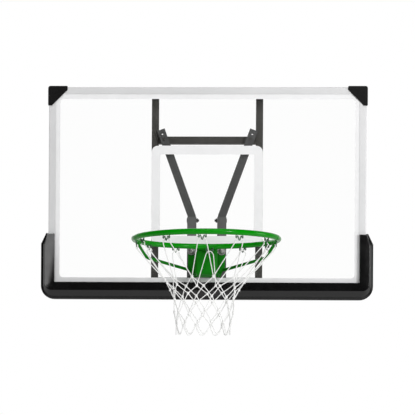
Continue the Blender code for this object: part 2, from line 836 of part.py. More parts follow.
def build_struts():
    half = STRUT_WIDTH / 2
    run_x = math.tan(STRUT_ANGLE)
    for side, sx in SIDES:
        solids = []
        for name, slot, inset, overrun in (
            (f"strut_{side}", "dark_steel", 0, 0),
            (f"strut_bore_{side}", None, STRUT_WALL, CUT_MARGIN),
        ):
            points = [(sx * x, z) for x, z in strut_outline(half - inset, overrun)]
            solid = outline_solid(name, [points], STRUT_DEPTH - 2 * inset, slot)
            stand_outline(solid, STRUT_BACK + inset)
            solids.append(solid)
        strut, bore = solids
        x = sx * STRUT_BAR_X
        spare_x = sx * (STRUT_BAR_X + STRUT_SPARE_HOLE_OFFSET * run_x)
        spare = cylinder(
            f"strut_spare_hole_{side}",
            STRUT_SPARE_HOLE_RADIUS,
            STRUT_DEPTH + 2 * FIT,
            spot(spare_x, STRUT_BACK - FIT, STRUT_SPARE_HOLE_OFFSET),
            FORWARD,
        )
        head_hole = bolt_hole(f"strut_head_shank_{side}", M6[0], spot(x, STRUT_BACK, 0), FORWARD, STRUT_DEPTH)
        foot_hole = bolt_hole(
            f"strut_foot_shank_{side}",
            M8[0],
            (sx * POST_X - half, strut_bolt_y(), strut_bolt_z()),
            (1, 0, 0),
            STRUT_WIDTH,
        )
        cut(strut, bore, spare, head_hole, foot_hole)

        nut_front = TUBE - TUBE_WALL - FIT
        length = STRUT_FRONT + FIT - nut_front + M6[2] + PAST_NUT
        hex_bolt(f"strut_head_bolt_{side}", M6, length, spot(x, STRUT_FRONT + FIT, 0), BACKWARD, "dark_steel")
        hex_nut(f"strut_head_nut_{side}", M6, spot(x, nut_front, 0), BACKWARD, "zinc")

        outer = POST_WIDTH / 2 + FIT
        inward = Vector((-sx, 0, 0))
        start = Vector((sx * (POST_X + outer), strut_bolt_y(), strut_bolt_z()))
        shank_radius, head_radius, nut_height = M8
        low_head = (shank_radius, head_radius, STRUT_FOOT_HEAD_HEIGHT)
        bolt_length = 2 * outer + nut_height + 2 * PAST_NUT
        hex_bolt(f"strut_foot_bolt_{side}", low_head, bolt_length, start, inward, "dark_steel")
        hex_nut(f"strut_foot_nut_{side}", M8, start + inward * 2 * outer, inward, "zinc")


def mirrored(points):
    """Adds the left half to a right-hand outline whose ends are given off the middle."""
    return points + [(-x, z) for x, z in reversed(points)]


def build_mount_plate():
    points = mirrored(
        [
            (PLATE_TOE_HALF_WIDTH, RING_Z - PLATE_BOTTOM_BELOW_RING),
            (PLATE_HALF_WIDTH, RING_Z - PLATE_SHOULDER_BELOW_RING),
            (PLATE_HALF_WIDTH, RING_Z + PLATE_TOP_ABOVE_RING),
        ]
    )
    plate = outline_solid("mount_plate", [points], PLATE_THICK, "green_paint")
    stand_outline(plate, PLATE_BACK)
    for side, sx in SIDES:
        start = spot(sx * POST_X, PLATE_BACK, RING_Z - RING_BOLT_BELOW_RING)
        hole = bolt_hole(f"plate_hole_{side}", M8[0], start, FORWARD, PLATE_THICK)
        ear_start = (sx * (COVER_HALF_WIDTH + FIT), HINGE_Y, HINGE_Z)
        lug = cylinder(f"ear_lug_{side}", EAR_RADIUS, EAR_THICK, ear_start, (sx, 0, 0), sides=24)
        inner = sx * (COVER_HALF_WIDTH + FIT)
        outer = sx * (COVER_HALF_WIDTH + FIT + EAR_THICK)
        web = block(
            f"ear_web_{side}",
            (inner, PLATE_BACK + PLATE_THICK / 2, HINGE_Z - EAR_RADIUS),
            (outer, -HINGE_Y, HINGE_Z + EAR_RADIUS),
        )
        cut(plate, hole)
        join(plate, web, lug)
    pin_start = Vector((-PLATE_HALF_WIDTH, HINGE_Y, HINGE_Z))
    pin_hole = bolt_hole("plate_pin_hole", HINGE_PIN_RADIUS, pin_start, (1, 0, 0), 2 * PLATE_HALF_WIDTH)
    cut(plate, pin_hole)


def build_ring_fasteners():
    shank_radius, _, nut_height = M8
    z = RING_Z - RING_BOLT_BELOW_RING
    washer_back = PLATE_FRONT + FIT
    head_back = washer_back + RING_WASHER_THICK + FIT
    web_back = POST_FRONT - POST_WALL
    nut_front = web_back - FIT
    for side, sx in SIDES:
        x = sx * POST_X
        washer = cylinder(
            f"ring_washer_{side}",
            RING_WASHER_RADIUS,
            RING_WASHER_THICK,
            spot(x, washer_back, z),
            FORWARD,
            "zinc",
            24,
        )
        start = spot(x, washer_back, z)
        cut(washer, bolt_hole(f"washer_hole_{side}", shank_radius, start, FORWARD, RING_WASHER_THICK))
        profile = [(0, RING_BOLT_DOME_HEIGHT)]
        steps = 5
        for step in range(1, steps + 1):
            angle = math.pi / 2 * step / steps
            across = RING_BOLT_DOME_RADIUS * math.sin(angle)
            profile.append((across, RING_BOLT_DOME_HEIGHT * math.cos(angle)))
        tip = nut_front - nut_height - PAST_NUT - head_back
        profile += [(shank_radius, 0), (shank_radius, tip), (0, tip)]
        bolt = turned(f"ring_bolt_{side}", profile, 16, "zinc")
        aim(bolt, spot(x, head_back, z), FORWARD)
        hex_nut(f"ring_nut_{side}", M8, spot(x, nut_front, z), BACKWARD, "zinc")


def build_hinge_pin():
    """A headed pin through the plate's ears and the cover's walls, with a clip on its far end."""
    outer = COVER_HALF_WIDTH + FIT + EAR_THICK + FIT
    tip = 2 * outer + CLIP_THICK + PIN_PAST_CLIP
    profile = [
        (0, 0),
        (PIN_HEAD_RADIUS, 0),
        (PIN_HEAD_RADIUS, -PIN_HEAD_HEIGHT),
        (HINGE_PIN_RADIUS, -PIN_HEAD_HEIGHT),
        (HINGE_PIN_RADIUS, -PIN_HEAD_HEIGHT - tip),
        (0, -PIN_HEAD_HEIGHT - tip),
    ]
    pin = turned("hinge_pin", profile, 16, "zinc")
    aim(pin, (-outer - PIN_HEAD_HEIGHT, HINGE_Y, HINGE_Z), (-1, 0, 0))
    clip = cylinder("hinge_clip", CLIP_RADIUS, CLIP_THICK, (outer, HINGE_Y, HINGE_Z), (1, 0, 0), "zinc", 16)
    cut(clip, bolt_hole("clip_hole", HINGE_PIN_RADIUS, (outer, HINGE_Y, HINGE_Z), (1, 0, 0), CLIP_THICK))


def build_spring_set():
    washer_back = SPRING_FRONT + FIT
    nut_back = washer_back + SPRING_WASHER_THICK + FIT
    stud_back = PLATE_FRONT + FIT
    nut_size = (STUD_RADIUS, SPRING_NUT_RADIUS, SPRING_NUT_HEIGHT)
    length = nut_back + nut_size[2] + STUD_PAST_NUT - stud_back
    cylinder("spring_stud", STUD_RADIUS, length, spot(0, stud_back, SPRING_Z), FORWARD, "zinc", 16)
    start = spot(0, washer_back, SPRING_Z)
    washer = cylinder("spring_washer", SPRING_WASHER_RADIUS, SPRING_WASHER_THICK, start, FORWARD, "zinc", 24)
    cut(washer, bolt_hole("spring_washer_hole", STUD_RADIUS, start, FORWARD, SPRING_WASHER_THICK))
    hex_nut("spring_nut", nut_size, spot(0, nut_back, SPRING_Z), FORWARD, "zinc")

    points = []
    count = SPRING_TURNS * SPRING_POINTS_PER_TURN
    travel = SPRING_LENGTH - 2 * (SPRING_WIRE_RADIUS + FIT)
    for i in range(count + 1):
        share = i / count
        angle = 2 * math.pi * SPRING_TURNS * share
        forward = FLANGE_FRONT + 2 * FIT + SPRING_WIRE_RADIUS + travel * share
        x = SPRING_MEAN_RADIUS * math.cos(angle)
        points.append(spot(x, forward, SPRING_Z + SPRING_MEAN_RADIUS * math.sin(angle)))
    rod("breakaway_spring", points, SPRING_WIRE_RADIUS, 1, "spring_steel")
    gap = min(
        (points[i] - points[j]).length
        for i in range(count + 1)
        for j in range(i + SPRING_POINTS_PER_TURN // 2, count + 1)
    )
    print(f"least gap between the spring's turns: {(gap - 2 * SPRING_WIRE_RADIUS) * 1000:.2f} mm")


def build_bracket():
    """The hinged back plate with its wings, and the tongue that carries the ring."""
    inner = COVER_HALF_WIDTH
    neck_inner = TONGUE_NECK_HALF_WIDTH - PLATE_THICK / 2
    flange_points = mirrored(
        [
            (inner - FIT, HINGE_Z - FLANGE_PAST_HINGE),
            (inner - FIT, RING_Z - WING_BOTTOM_BELOW_RING),
            (wing_edge(), RING_Z - WING_BOTTOM_BELOW_RING + WING_BOTTOM_SLOPE),
            (PLATE_HALF_WIDTH, RING_Z - PLATE_SHOULDER_BELOW_RING),
            (PLATE_HALF_WIDTH, RING_Z - WING_TOP_BELOW_RING),
            (neck_inner, RING_Z - WING_TOP_BELOW_RING),
            (neck_inner, TONGUE_TOP - TONGUE_THICK / 2),
        ]
    )
    bracket = outline_solid("ring_bracket", [flange_points], PLATE_THICK, "green_paint")
    stand_outline(bracket, FLANGE_BACK)

    neck = FLANGE_BACK + TONGUE_NECK_LENGTH
    shoulder = FLANGE_FRONT + COVER_DEPTH
    nose = RING_FORWARD - RING_RADIUS
    tongue_points = mirrored(
        [
            (TONGUE_NECK_HALF_WIDTH, -(FLANGE_BACK + PLATE_THICK / 2)),
            (TONGUE_NECK_HALF_WIDTH, -neck),
            (inner, -neck),
            (inner, -shoulder),
            (TONGUE_NOSE_HALF_WIDTH, -nose),
        ]
    )
    tongue = outline_solid("bracket_tongue", [tongue_points], TONGUE_THICK)
    tongue.location = (0, 0, TONGUE_BOTTOM)
    slot = block(
        "stud_slot",
        (-STUD_RADIUS - STUD_SLOT_CLEARANCE, FLANGE_BACK - FIT, SPRING_Z - STUD_SLOT_HEIGHT / 2),
        (STUD_RADIUS + STUD_SLOT_CLEARANCE, FLANGE_FRONT + FIT, SPRING_Z + STUD_SLOT_HEIGHT / 2),
    )
    join(bracket, tongue)
    cut(bracket, slot)


def wing_edge():
    """Half width of the plate's sloping side at the bottom of the wings."""
    drop = WING_BOTTOM_BELOW_RING - WING_BOTTOM_SLOPE - PLATE_SHOULDER_BELOW_RING
    slope = (PLATE_HALF_WIDTH - PLATE_TOE_HALF_WIDTH) / (PLATE_BOTTOM_BELOW_RING - PLATE_SHOULDER_BELOW_RING)
    return PLATE_HALF_WIDTH - drop * slope


def cover_shell(name, inset, top, back, slot=None):
    """A box whose front and lower edges are rounded."""
    low = (-COVER_HALF_WIDTH + inset, back, RING_Z - COVER_BOTTOM_BELOW_RING + inset)
    high = (COVER_HALF_WIDTH - inset, FLANGE_FRONT + COVER_DEPTH - inset, top)
    shape = bmesh.new()
    size = [high[i] - low[i] for i in range(3)]
    centre = spot(*[(high[i] + low[i]) / 2 for i in range(3)])
    bmesh.ops.create_cube(shape, size=1.0, matrix=Matrix.Translation(centre) @ Matrix.Diagonal((*size, 1.0)))
    edges = []
    for edge in shape.edges:
        middle = (edge.verts[0].co + edge.verts[1].co) / 2
        on_top = middle.z > high[2] - FIT
        on_back = middle.y > -low[1] - FIT
        if not on_top and not on_back:
            edges.append(edge)
    bmesh.ops.bevel(
        shape, geom=edges, offset=COVER_ROUNDING - inset, segments=4, profile=0.5, affect="EDGES", material=-1
    )
    return finish_mesh(name, shape, slot, smooth=True)


def build_cover():
    cover = cover_shell("spring_cover", 0, TONGUE_BOTTOM - FIT, FLANGE_FRONT + FIT, "green_paint")
    hollow = cover_shell("cover_hollow", COVER_WALL, TONGUE_BOTTOM + CUT_MARGIN, FLANGE_FRONT - CUT_MARGIN)
    start = (-COVER_HALF_WIDTH, HINGE_Y, HINGE_Z)
    pin_hole = bolt_hole("cover_pin_hole", HINGE_PIN_RADIUS, start, (1, 0, 0), 2 * COVER_HALF_WIDTH)
    cut(cover, hollow, pin_hole)


def ring_spot(angle, radius, height):
    """A point about the ring's axis, with angle 0 at the player's side and growing to the right."""
    return RING_CENTRE + Vector((radius * math.sin(angle), -radius * math.cos(angle), height))


def hook_points(angle):
    """A bent wire with a bowl between two curls, lying across the ring's radius."""
    along = Vector((math.cos(angle), math.sin(angle), 0))
    middle = ring_spot(angle, RING_RADIUS - HOOK_INSET, 0)
    start = ROD_RADIUS / 3
    outline = [(-t, w) for t, w in reversed(HOOK_HALF_SHAPE)] + list(HOOK_HALF_SHAPE)
    return [middle + along * t - Vector((0, 0, start + HOOK_DROP * w)) for t, w in outline]


def build_ring():
    bpy.ops.mesh.primitive_torus_add(
        major_segments=RING_SEGMENTS,
        minor_segments=ROD_SIDES,
        major_radius=RING_RADIUS,
        minor_radius=ROD_RADIUS,
        location=RING_CENTRE,
    )
    ring = bpy.context.object
    ring.name = "ring_hoop"
    ring.data.name = "ring_hoop"
    for collection in list(ring.users_collection):
        collection.objects.unlink(ring)
    bpy.data.collections["basketball_hoop"].objects.link(ring)
    ring.data.materials.append(material("green_paint"))
    ring.data.shade_smooth()
    for i in range(HOOK_COUNT):
        angle = HOOK_START_ANGLE + 2 * math.pi * i / HOOK_COUNT
        hook = rod(f"hook_{i + 1:02d}", hook_points(angle), HOOK_WIRE_RADIUS, 1)
        join(ring, hook)


def bend_points(start, corner, end, radius, steps=8):
    """Two straight runs with an arc between them."""
    before = (start - corner).normalized()
    after = (end - corner).normalized()
    half = before.angle(after) / 2
    centre = corner + (before + after).normalized() * (radius / math.sin(half))
    first = corner + before * (radius / math.tan(half))
    last = corner + after * (radius / math.tan(half))
    arm = first - centre
    axis = arm.cross(last - centre)
    turn = arm.angle(last - centre)
    points = [start]
    for step in range(steps + 1):
        points.append(centre + Matrix.Rotation(turn * step / steps, 3, axis) @ arm)
    return points + [end]


def build_braces():
    bpy.ops.mesh.primitive_torus_add(
        major_segments=RING_SEGMENTS,
        minor_segments=ROD_SIDES,
        major_radius=RING_RADIUS,
        minor_radius=ROD_RADIUS + FIT,
        location=RING_CENTRE,
    )
    saddle = bpy.context.object
    saddle.name = "brace_saddle"
    for collection in list(saddle.users_collection):
        collection.objects.unlink(saddle)
    bpy.data.collections["cutters"].objects.link(saddle)
    saddle.hide_render = True
    saddle.display_type = "WIRE"
    wing = block(
        "brace_wing_face",
        (-PLATE_HALF_WIDTH - CUT_MARGIN, FLANGE_BACK - CUT_MARGIN, RING_Z - PLATE_BOTTOM_BELOW_RING),
        (PLATE_HALF_WIDTH + CUT_MARGIN, FLANGE_FRONT + FIT, RING_Z - WING_TOP_BELOW_RING),
    )
    bend_x, bend_forward, bend_rise = BRACE_BEND
    for side, sx in SIDES:
        top = ring_spot(sx * (math.pi - BRACE_RING_ANGLE), RING_RADIUS, 0)
        corner = spot(sx * bend_x, PANEL_FRONT + bend_forward, RING_Z + bend_rise)
        foot = spot(sx * BRACE_WING_X, FLANGE_BACK, RING_Z - BRACE_WING_BELOW_RING)
        points = bend_points(top, corner, foot, BRACE_BEND_RADIUS)
        brace = rod(f"brace_{side}", points, BRACE_RADIUS, 3, "green_paint")
        cut(brace, saddle, wing)


def net_spot(step, radius, drop, shift=0.0):
    """A point on the net: step counts hooks, shift moves it along the net's circle.

    The net leans a little to the left and twists, more so toward its hem. Halfway down it hangs
    a little lower on the board's side.
    """
    hang = (drop - NET_ARCH_BELOW_RING) / (NET_HEM_DROP - NET_ARCH_BELOW_RING)
    angle = HOOK_START_ANGLE + 2 * math.pi * step / HOOK_COUNT + shift / radius + NET_TWIST * hang * abs(hang)
    tip = NET_TIP * hang * (1 - hang) * math.cos(angle)
    return ring_spot(angle, radius, tip - drop) - Vector((NET_LEAN * hang, 0, 0))


def build_net():
    """Cords as the thickened edges of a lattice of meshes, fused at the knots."""
    shape = bmesh.new()
    arch_radius = RING_RADIUS - HOOK_INSET - HOOK_WIRE_RADIUS - NET_SQUARENESS * NET_CORD / 2 - FIT
    arches = []
    hems = []
    knots = [[] for _ in NET_KNOT_DROPS]
    for i in range(HOOK_COUNT):
        wide = NET_ARCH_HALF_WIDTH
        bend = wide * 0.7
        arch = (
            (-wide, NET_ARCH_HEIGHT),
            (-bend, NET_ARCH_SHOULDER),
            (0, 0),
            (bend, NET_ARCH_SHOULDER),
            (wide, NET_ARCH_HEIGHT),
        )
        places = [net_spot(i, arch_radius, NET_ARCH_BELOW_RING + sag, shift) for shift, sag in arch]
        arches.append([shape.verts.new(place) for place in places])
        for row, (drop, radius) in enumerate(zip(NET_KNOT_DROPS, NET_KNOT_RADII)):
            step = i + 0.5 if row % 2 == 0 else i
            knots[row].append(shape.verts.new(net_spot(step, radius, drop)))
        half = NET_HEM_HALF_WIDTH
        hem = (
            (-half, -NET_HEM_RISE),
            (-half / 2, -NET_HEM_SHOULDER),
            (half / 2, -NET_HEM_SHOULDER),
            (half, -NET_HEM_RISE),
        )
        places = [net_spot(i, NET_HEM_RADIUS, NET_HEM_DROP + rise, shift) for shift, rise in hem]
        hems.append([shape.verts.new(place) for place in places])
    for i in range(HOOK_COUNT):
        after = (i + 1) % HOOK_COUNT
        shape.faces.new([knots[0][i - 1]] + arches[i] + [knots[0][i], knots[1][i]])
        shape.faces.new([knots[0][i], knots[1][after], knots[2][i], knots[1][i]])
        shape.faces.new([knots[1][i], knots[2][i], knots[3][i], knots[2][i - 1]])
        shape.faces.new([knots[2][i], knots[3][after], knots[4][i], knots[3][i]])
        shape.faces.new([knots[3][i], knots[4][i]] + hems[i][::-1] + [knots[4][i - 1]])
    net = finish_mesh("net", shape, "white_cord")
    wire = net.modifiers.new("cords", "WIREFRAME")
    wire.thickness = NET_CORD
    wire.use_boundary = True
    wire.use_even_offset = True
    wire.use_replace = True


def hang_on_hinge():
    """Parents the moving pieces, with the shapes that cut or join them, to an empty on the hinge's axis."""
    hinge = bpy.data.objects.new("ring_hinge", None)
    hinge.empty_display_size = 0.05
    hinge.location = (0, HINGE_Y, HINGE_Z)
    bpy.data.collections["basketball_hoop"].objects.link(hinge)
    back = Matrix.Translation(hinge.location).inverted()
    for name in ("ring_bracket", "spring_cover", "ring_hoop", "brace_left", "brace_right", "net"):
        piece = bpy.data.objects[name]
        shapes = [modifier.object for modifier in piece.modifiers if modifier.type == "BOOLEAN"]
        for obj in [piece] + shapes:
            obj.parent = hinge
            obj.matrix_parent_inverse = back


def main():
    start_scene()
    build_rails()
    build_panel()
    build_prints()
    build_corner_caps()
    build_pad()
    build_back_frame()
    build_posts()
    build_struts()
    build_mount_plate()
    build_ring_fasteners()
    build_hinge_pin()
    build_spring_set()
    build_bracket()
    build_cover()
    build_ring()
    build_braces()
    build_net()
    hang_on_hinge()


main()
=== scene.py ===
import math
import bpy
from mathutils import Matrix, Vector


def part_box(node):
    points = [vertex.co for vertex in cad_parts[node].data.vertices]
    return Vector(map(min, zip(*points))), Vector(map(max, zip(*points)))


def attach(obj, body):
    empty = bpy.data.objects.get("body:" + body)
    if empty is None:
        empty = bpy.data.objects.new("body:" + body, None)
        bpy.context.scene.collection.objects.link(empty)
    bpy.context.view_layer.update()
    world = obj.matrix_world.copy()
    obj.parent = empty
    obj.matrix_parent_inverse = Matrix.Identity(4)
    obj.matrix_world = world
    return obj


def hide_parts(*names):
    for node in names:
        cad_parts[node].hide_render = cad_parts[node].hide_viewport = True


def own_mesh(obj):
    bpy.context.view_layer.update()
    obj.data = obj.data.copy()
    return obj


bl_info = {
    "name": "Basketball Hoop",
    "version": (1, 0, 0),
    "blender": (4, 5, 0),
    "location": "View3D > Sidebar > Hoop",
    "description": "Dresses a wall-hung basketball hoop: board, steel frame, sprung ring and corded net",
    "category": "Add Mesh",
}

import bmesh
import bpy
from mathutils import Matrix, Vector

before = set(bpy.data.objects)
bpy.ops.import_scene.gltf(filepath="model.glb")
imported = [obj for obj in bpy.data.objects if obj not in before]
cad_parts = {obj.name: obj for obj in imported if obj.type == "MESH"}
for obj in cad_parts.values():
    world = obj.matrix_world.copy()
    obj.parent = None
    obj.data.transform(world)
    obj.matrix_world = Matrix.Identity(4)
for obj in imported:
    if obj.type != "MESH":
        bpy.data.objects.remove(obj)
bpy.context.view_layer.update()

# How far the edges of pieces are rounded
FASTENER_EDGE = 0.0003
PANEL_EDGE = 0.0004
RAIL_EDGE = 0.0004
RAIL_NOSE = 0.003
PLATE_EDGE = 0.0005
TUBE_EDGE = 0.0006
CAP_EDGE = 0.0010
PAD_EDGE = 0.0022

# Flat faces round a rod, a wire, a cord and a knot's cord, and along the ring and a turn of the spring
ROD_SIDES = 32
WIRE_SIDES = 12
CORD_SIDES = 10
KNOT_SIDES = 8
RING_STEPS = 180
TURN_STEPS = 28

# Ring and its net hooks
ROD_RADIUS = 0.009
HOOKS = 12
HOOK_START = math.radians(-2.8)
HOOK_WIRE = 0.0016
HOOK_INSET = 0.007
HOOK_TOP = 0.003
HOOK_DEPTH = 0.0207

# Half of a hook's bent wire: distance from its middle, and share of its depth
HOOK_HALF = (
    (0.0010, 0.987),
    (0.0020, 0.903),
    (0.0046, 0.464),
    (0.0056, 0.380),
    (0.0076, 0.380),
    (0.0086, 0.464),
    (0.0086, 0.560),
    (0.0096, 0.644),
    (0.0116, 0.644),
    (0.0126, 0.560),
    (0.0110, 0.0),
)

# Spring's wire and its turns
SPRING_WIRE = 0.0016
SPRING_TURNS = 6

# Gap between the net's loops and their hooks
FIT = 0.0003

# Depth below the ring of a loop's top, where it hangs in its hook
LOOP_DROP = 0.0175

# Half of a loop: inset from the hook's circle, depth below the ring, and share of the half width
LOOP_HALF = ((0.004, 0.038, 1.36), (0.0, 0.0255, 1.0), (0.0, 0.0188, 0.6), (0.0, LOOP_DROP, 0.0))

# Depths below the ring, and radii, of the net's rows of knots and of its hem
KNOT_ROWS = ((0.136, 0.131), (0.164, 0.112), (0.1952, 0.0985), (0.2375, 0.0955), (0.272, 0.0905))
HEM_DROP = 0.3097
HEM_RADIUS = 0.0877

# Half of a hem loop: share of a step, radius, depth below the ring, and distance from its middle
HEM_HALF = (
    (0.38, 0.0892, 0.288, 0.0),
    (0.0, HEM_RADIUS, HEM_DROP - 0.011, 0.0110),
    (0.0, HEM_RADIUS, HEM_DROP - 0.002, 0.005),
)

# How far the two cords from a knot to the next row bow outward
BOWS = (0.0008, 0.0016)

# A knot's turns of cord, and its depth, width, slant, height and cord as shares of the cord's radius
KNOT_TURNS = 3
KNOT_DEPTH = 1.3
KNOT_WIDTH = 2.1
KNOT_SLANT = 0.7
KNOT_HEIGHT = 5.5
KNOT_CORD = 1.1

# How far each knot of a row has slipped round the net, in degrees
SLIPS = (
    (-1.0, 1.5, 3.0, -2.0, 0.0, 1.0, -1.0, 2.0, -2.0, 0.0, -2.0, -1.0),
    (0.0, -2.5, 1.0, 2.0, -1.0, 1.5, -3.0, 1.0, 2.0, 0.0, -1.5, 0.0),
    (0.0, 2.0, -1.0, 1.0, -2.0, 0.0, 2.0, -1.0, 1.5, -2.0, 1.0, 1.2),
    (2.5, 0.0, -2.0, 1.0, 0.0, -1.5, 2.0, 0.0, -2.0, 1.0, 1.0, 2.8),
    (0.0, -1.0, 2.0, 0.0, 1.5, -1.0, 0.0, 2.0, -1.0, 0.0, 4.0, 2.9),
)

# The net's lean to the left and its twist at the hem, and its tip toward the board, greatest halfway down
LEAN = 0.0085
TWIST = math.radians(5.5)
TIP = 0.024

# Spacing of points along a cord and a hook's wire
CORD_STEP = 0.004
WIRE_STEP = 0.0012


def ring_places():
    """The ring's centre and its centreline's radius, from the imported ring."""
    low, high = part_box("ring_hoop")
    centre = Vector(((low.x + high.x) / 2, (low.y + high.y) / 2, high.z - ROD_RADIUS))
    return centre, (high.x - low.x) / 2 - ROD_RADIUS


RING_CENTRE, RING_RADIUS = ring_places()


def colour_property(name, default, description):
    return bpy.props.FloatVectorProperty(
        name=name, description=description, default=default, subtype="COLOR", size=3, min=0, max=1
    )


class HoopFinishes(bpy.types.PropertyGroup):
    paint: colour_property("Ring paint", (0.0012, 0.228, 0.0014), "Gloss paint on the ring and its bracket")
    steel: colour_property("Frame steel", (0.048, 0.046, 0.042), "Powder coat on the frame behind the board")
    foam: colour_property("Pad skin", (0.0030, 0.0030, 0.0031), "Moulded skin of the lower pad")
    cap: colour_property("Corner caps", (0.0035, 0.0034, 0.0033), "Moulded plastic of the corner caps")
    rail: colour_property("Rails", (0.67, 0.67, 0.674), "Anodised aluminium of the board's rails")
    ink: colour_property("Printed lines", (0.77, 0.77, 0.775), "Ink of the border and the target square")
    cord: colour_property("Net cord", (0.92, 0.92, 0.91), "Braided cord of the net")
    zinc: colour_property("Fasteners", (0.30, 0.30, 0.29), "Zinc-plated bolts, nuts and washers")


class HoopNet(bpy.types.PropertyGroup):
    cord: bpy.props.FloatProperty(
        name="Cord", description="Diameter of the net's cord", default=0.0029, unit="LENGTH"
    )
    arch: bpy.props.FloatProperty(
        name="Loop width",
        description="Width of a loop where it hangs in its hook",
        default=0.022,
        unit="LENGTH",
    )
    pitch: bpy.props.FloatProperty(
        name="Braid pitch",
        description="Length of one turn of the cord's braid",
        default=0.006,
        unit="LENGTH",
    )


class HoopStage(bpy.types.PropertyGroup):
    distance: bpy.props.FloatProperty(
        name="Camera distance", description="From the wall to the camera", default=4.7556, unit="LENGTH"
    )
    drop: bpy.props.FloatProperty(
        name="Camera drop", description="How far the camera is below the ring", default=0.455, unit="LENGTH"
    )
    lens: bpy.props.FloatProperty(
        name="Lens", description="Focal length of the camera", default=115.55, unit="CAMERA"
    )
    floor: bpy.props.FloatProperty(
        name="Floor drop", description="How far the floor is below the ring", default=1.05, unit="LENGTH"
    )


def finishes():
    return bpy.context.scene.hoop_finishes


# Materials


def combined(tree, operation, *values):
    """A Math node over values, each of them a socket or a number."""
    node = tree.nodes.new("ShaderNodeMath")
    node.operation = operation
    for place, value in zip(node.inputs, values):
        if isinstance(value, bpy.types.NodeSocket):
            tree.links.new(value, place)
        else:
            place.default_value = value
    return node.outputs["Value"]


def ranged(tree, value, start, end, low, high):
    """Maps a value from start and end to low and high, and holds it there."""
    node = tree.nodes.new("ShaderNodeMapRange")
    names = ("From Min", "From Max", "To Min", "To Max")
    for name, number in zip(names, (start, end, low, high)):
        node.inputs[name].default_value = number
    tree.links.new(value, node.inputs["Value"])
    return node.outputs["Result"]


class Look:
    """A Principled material with small helpers for the patterns that drive it."""

    def __init__(self, name, colour, roughness, metallic=0.0, **sockets):
        self.material = bpy.data.materials.new(name)
        self.material.use_nodes = True
        self.tree = self.material.node_tree
        self.shader = self.tree.nodes["Principled BSDF"]
        self.shader.inputs["Base Color"].default_value = (*colour, 1)
        self.shader.inputs["Roughness"].default_value = roughness
        self.shader.inputs["Metallic"].default_value = metallic
        for socket, value in sockets.items():
            self.shader.inputs[socket.replace("_", " ")].default_value = value
        self.place = self.node("ShaderNodeTexCoord").outputs["Object"]
        self.height = None

    def node(self, kind, **values):
        made = self.tree.nodes.new(kind)
        for key, value in values.items():
            if key in made.inputs:
                made.inputs[key].default_value = value
            else:
                setattr(made, key, value)
        return made

    def link(self, source, target):
        self.tree.links.new(source, target)

    def stretched(self, scale):
        mapping = self.node("ShaderNodeMapping")
        mapping.inputs["Scale"].default_value = scale
        self.link(self.place, mapping.inputs["Vector"])
        return mapping.outputs["Vector"]

    def noise(self, scale, detail=3.0, stretch=None, roughness=0.5):
        noise = self.node("ShaderNodeTexNoise", Scale=scale, Detail=detail, Roughness=roughness)
        self.link(self.stretched(stretch) if stretch else self.place, noise.inputs["Vector"])
        return noise.outputs["Fac"]

    def spread(self, value, low, high, start=0.3, end=0.7):
        return ranged(self.tree, value, start, end, low, high)

    def mottle(self, colour, other, value, start=0.35, end=0.65):
        mix = self.node("ShaderNodeMix", data_type="RGBA")
        mix.inputs["A"].default_value = (*colour, 1)
        mix.inputs["B"].default_value = (*other, 1)
        self.link(self.spread(value, 0, 1, start, end), mix.inputs["Factor"])
        self.link(mix.outputs["Result"], self.shader.inputs["Base Color"])

    def uneven_gloss(self, value, low, high):
        self.link(self.spread(value, low, high), self.shader.inputs["Roughness"])

    def bump(self, value, distance, strength=1.0):
        bump = self.node("ShaderNodeBump", Distance=distance, Strength=strength)
        self.link(value, bump.inputs["Height"])
        if self.height:
            self.link(self.height, bump.inputs["Normal"])
        self.height = bump.outputs["Normal"]
        self.link(self.height, self.shader.inputs["Normal"])

    def overlay(self, share, under, over):
        """Makes the surface of one shader with a share of another laid over it."""
        mix = self.node("ShaderNodeMixShader")
        self.link(share, mix.inputs["Fac"])
        self.link(under, mix.inputs[1])
        self.link(over, mix.inputs[2])
        self.link(mix.outputs["Shader"], self.tree.nodes["Material Output"].inputs["Surface"])


def tinted(colour, amount):
    return tuple(min(1.0, max(0.0, channel * amount)) for channel in colour)


def paint():
    colour = tuple(finishes().paint)
    coat = Look("ring_paint", colour, 0.16, Specular_IOR_Level=0.18)
    coat.mottle(tinted(colour, 0.92), tinted(colour, 1.06), coat.noise(14))
    coat.uneven_gloss(coat.noise(60, 2), 0.13, 0.2)
    coat.bump(coat.noise(420, 2), 0.00012, 0.4)
    return coat.material


def shade_darkened_paint():
    # The ring's own paint darkened to 0.72: painted shade for the bracket, cover, braces and mount plate,
    # which sit in the ring's shadow
    colour = tinted(tuple(finishes().paint), 0.72)
    coat = Look("shade_darkened_paint", colour, 0.5, Specular_IOR_Level=0.12)
    coat.mottle(tinted(colour, 0.86), tinted(colour, 1.1), coat.noise(18))
    coat.uneven_gloss(coat.noise(50, 2), 0.44, 0.58)
    coat.bump(coat.noise(500, 2), 0.00014, 0.5)
    return coat.material


def wire_paint():
    colour = (0.035, 0.10, 0.045)
    coat = Look("hook_paint", colour, 0.34, Specular_IOR_Level=0.4)
    coat.mottle(tinted(colour, 0.7), tinted(colour, 1.25), coat.noise(160))
    coat.bump(coat.noise(900, 2), 0.0001, 0.5)
    return coat.material


def powder(name, colour):
    coat = Look(name, colour, 0.5, Specular_IOR_Level=0.3)
    coat.mottle(tinted(colour, 0.93), tinted(colour, 1.07), coat.noise(9))
    coat.uneven_gloss(coat.noise(40, 2), 0.44, 0.56)
    coat.bump(coat.noise(700, 2), 0.00015, 0.6)
    return coat.material


def powder_coat():
    return powder("powder_coat", tuple(finishes().steel))


# The ring posts wear the frame's own powder coat; this lighter grey is painted light, for the light they
# catch
def lit_post_coat():
    return powder("lit_post_coat", (0.098, 0.098, 0.097))


# The struts wear the frame's own powder coat; this lighter grey is painted light, for the light they catch
def lit_strut_coat():
    return powder("lit_strut_coat", (0.063, 0.063, 0.063))


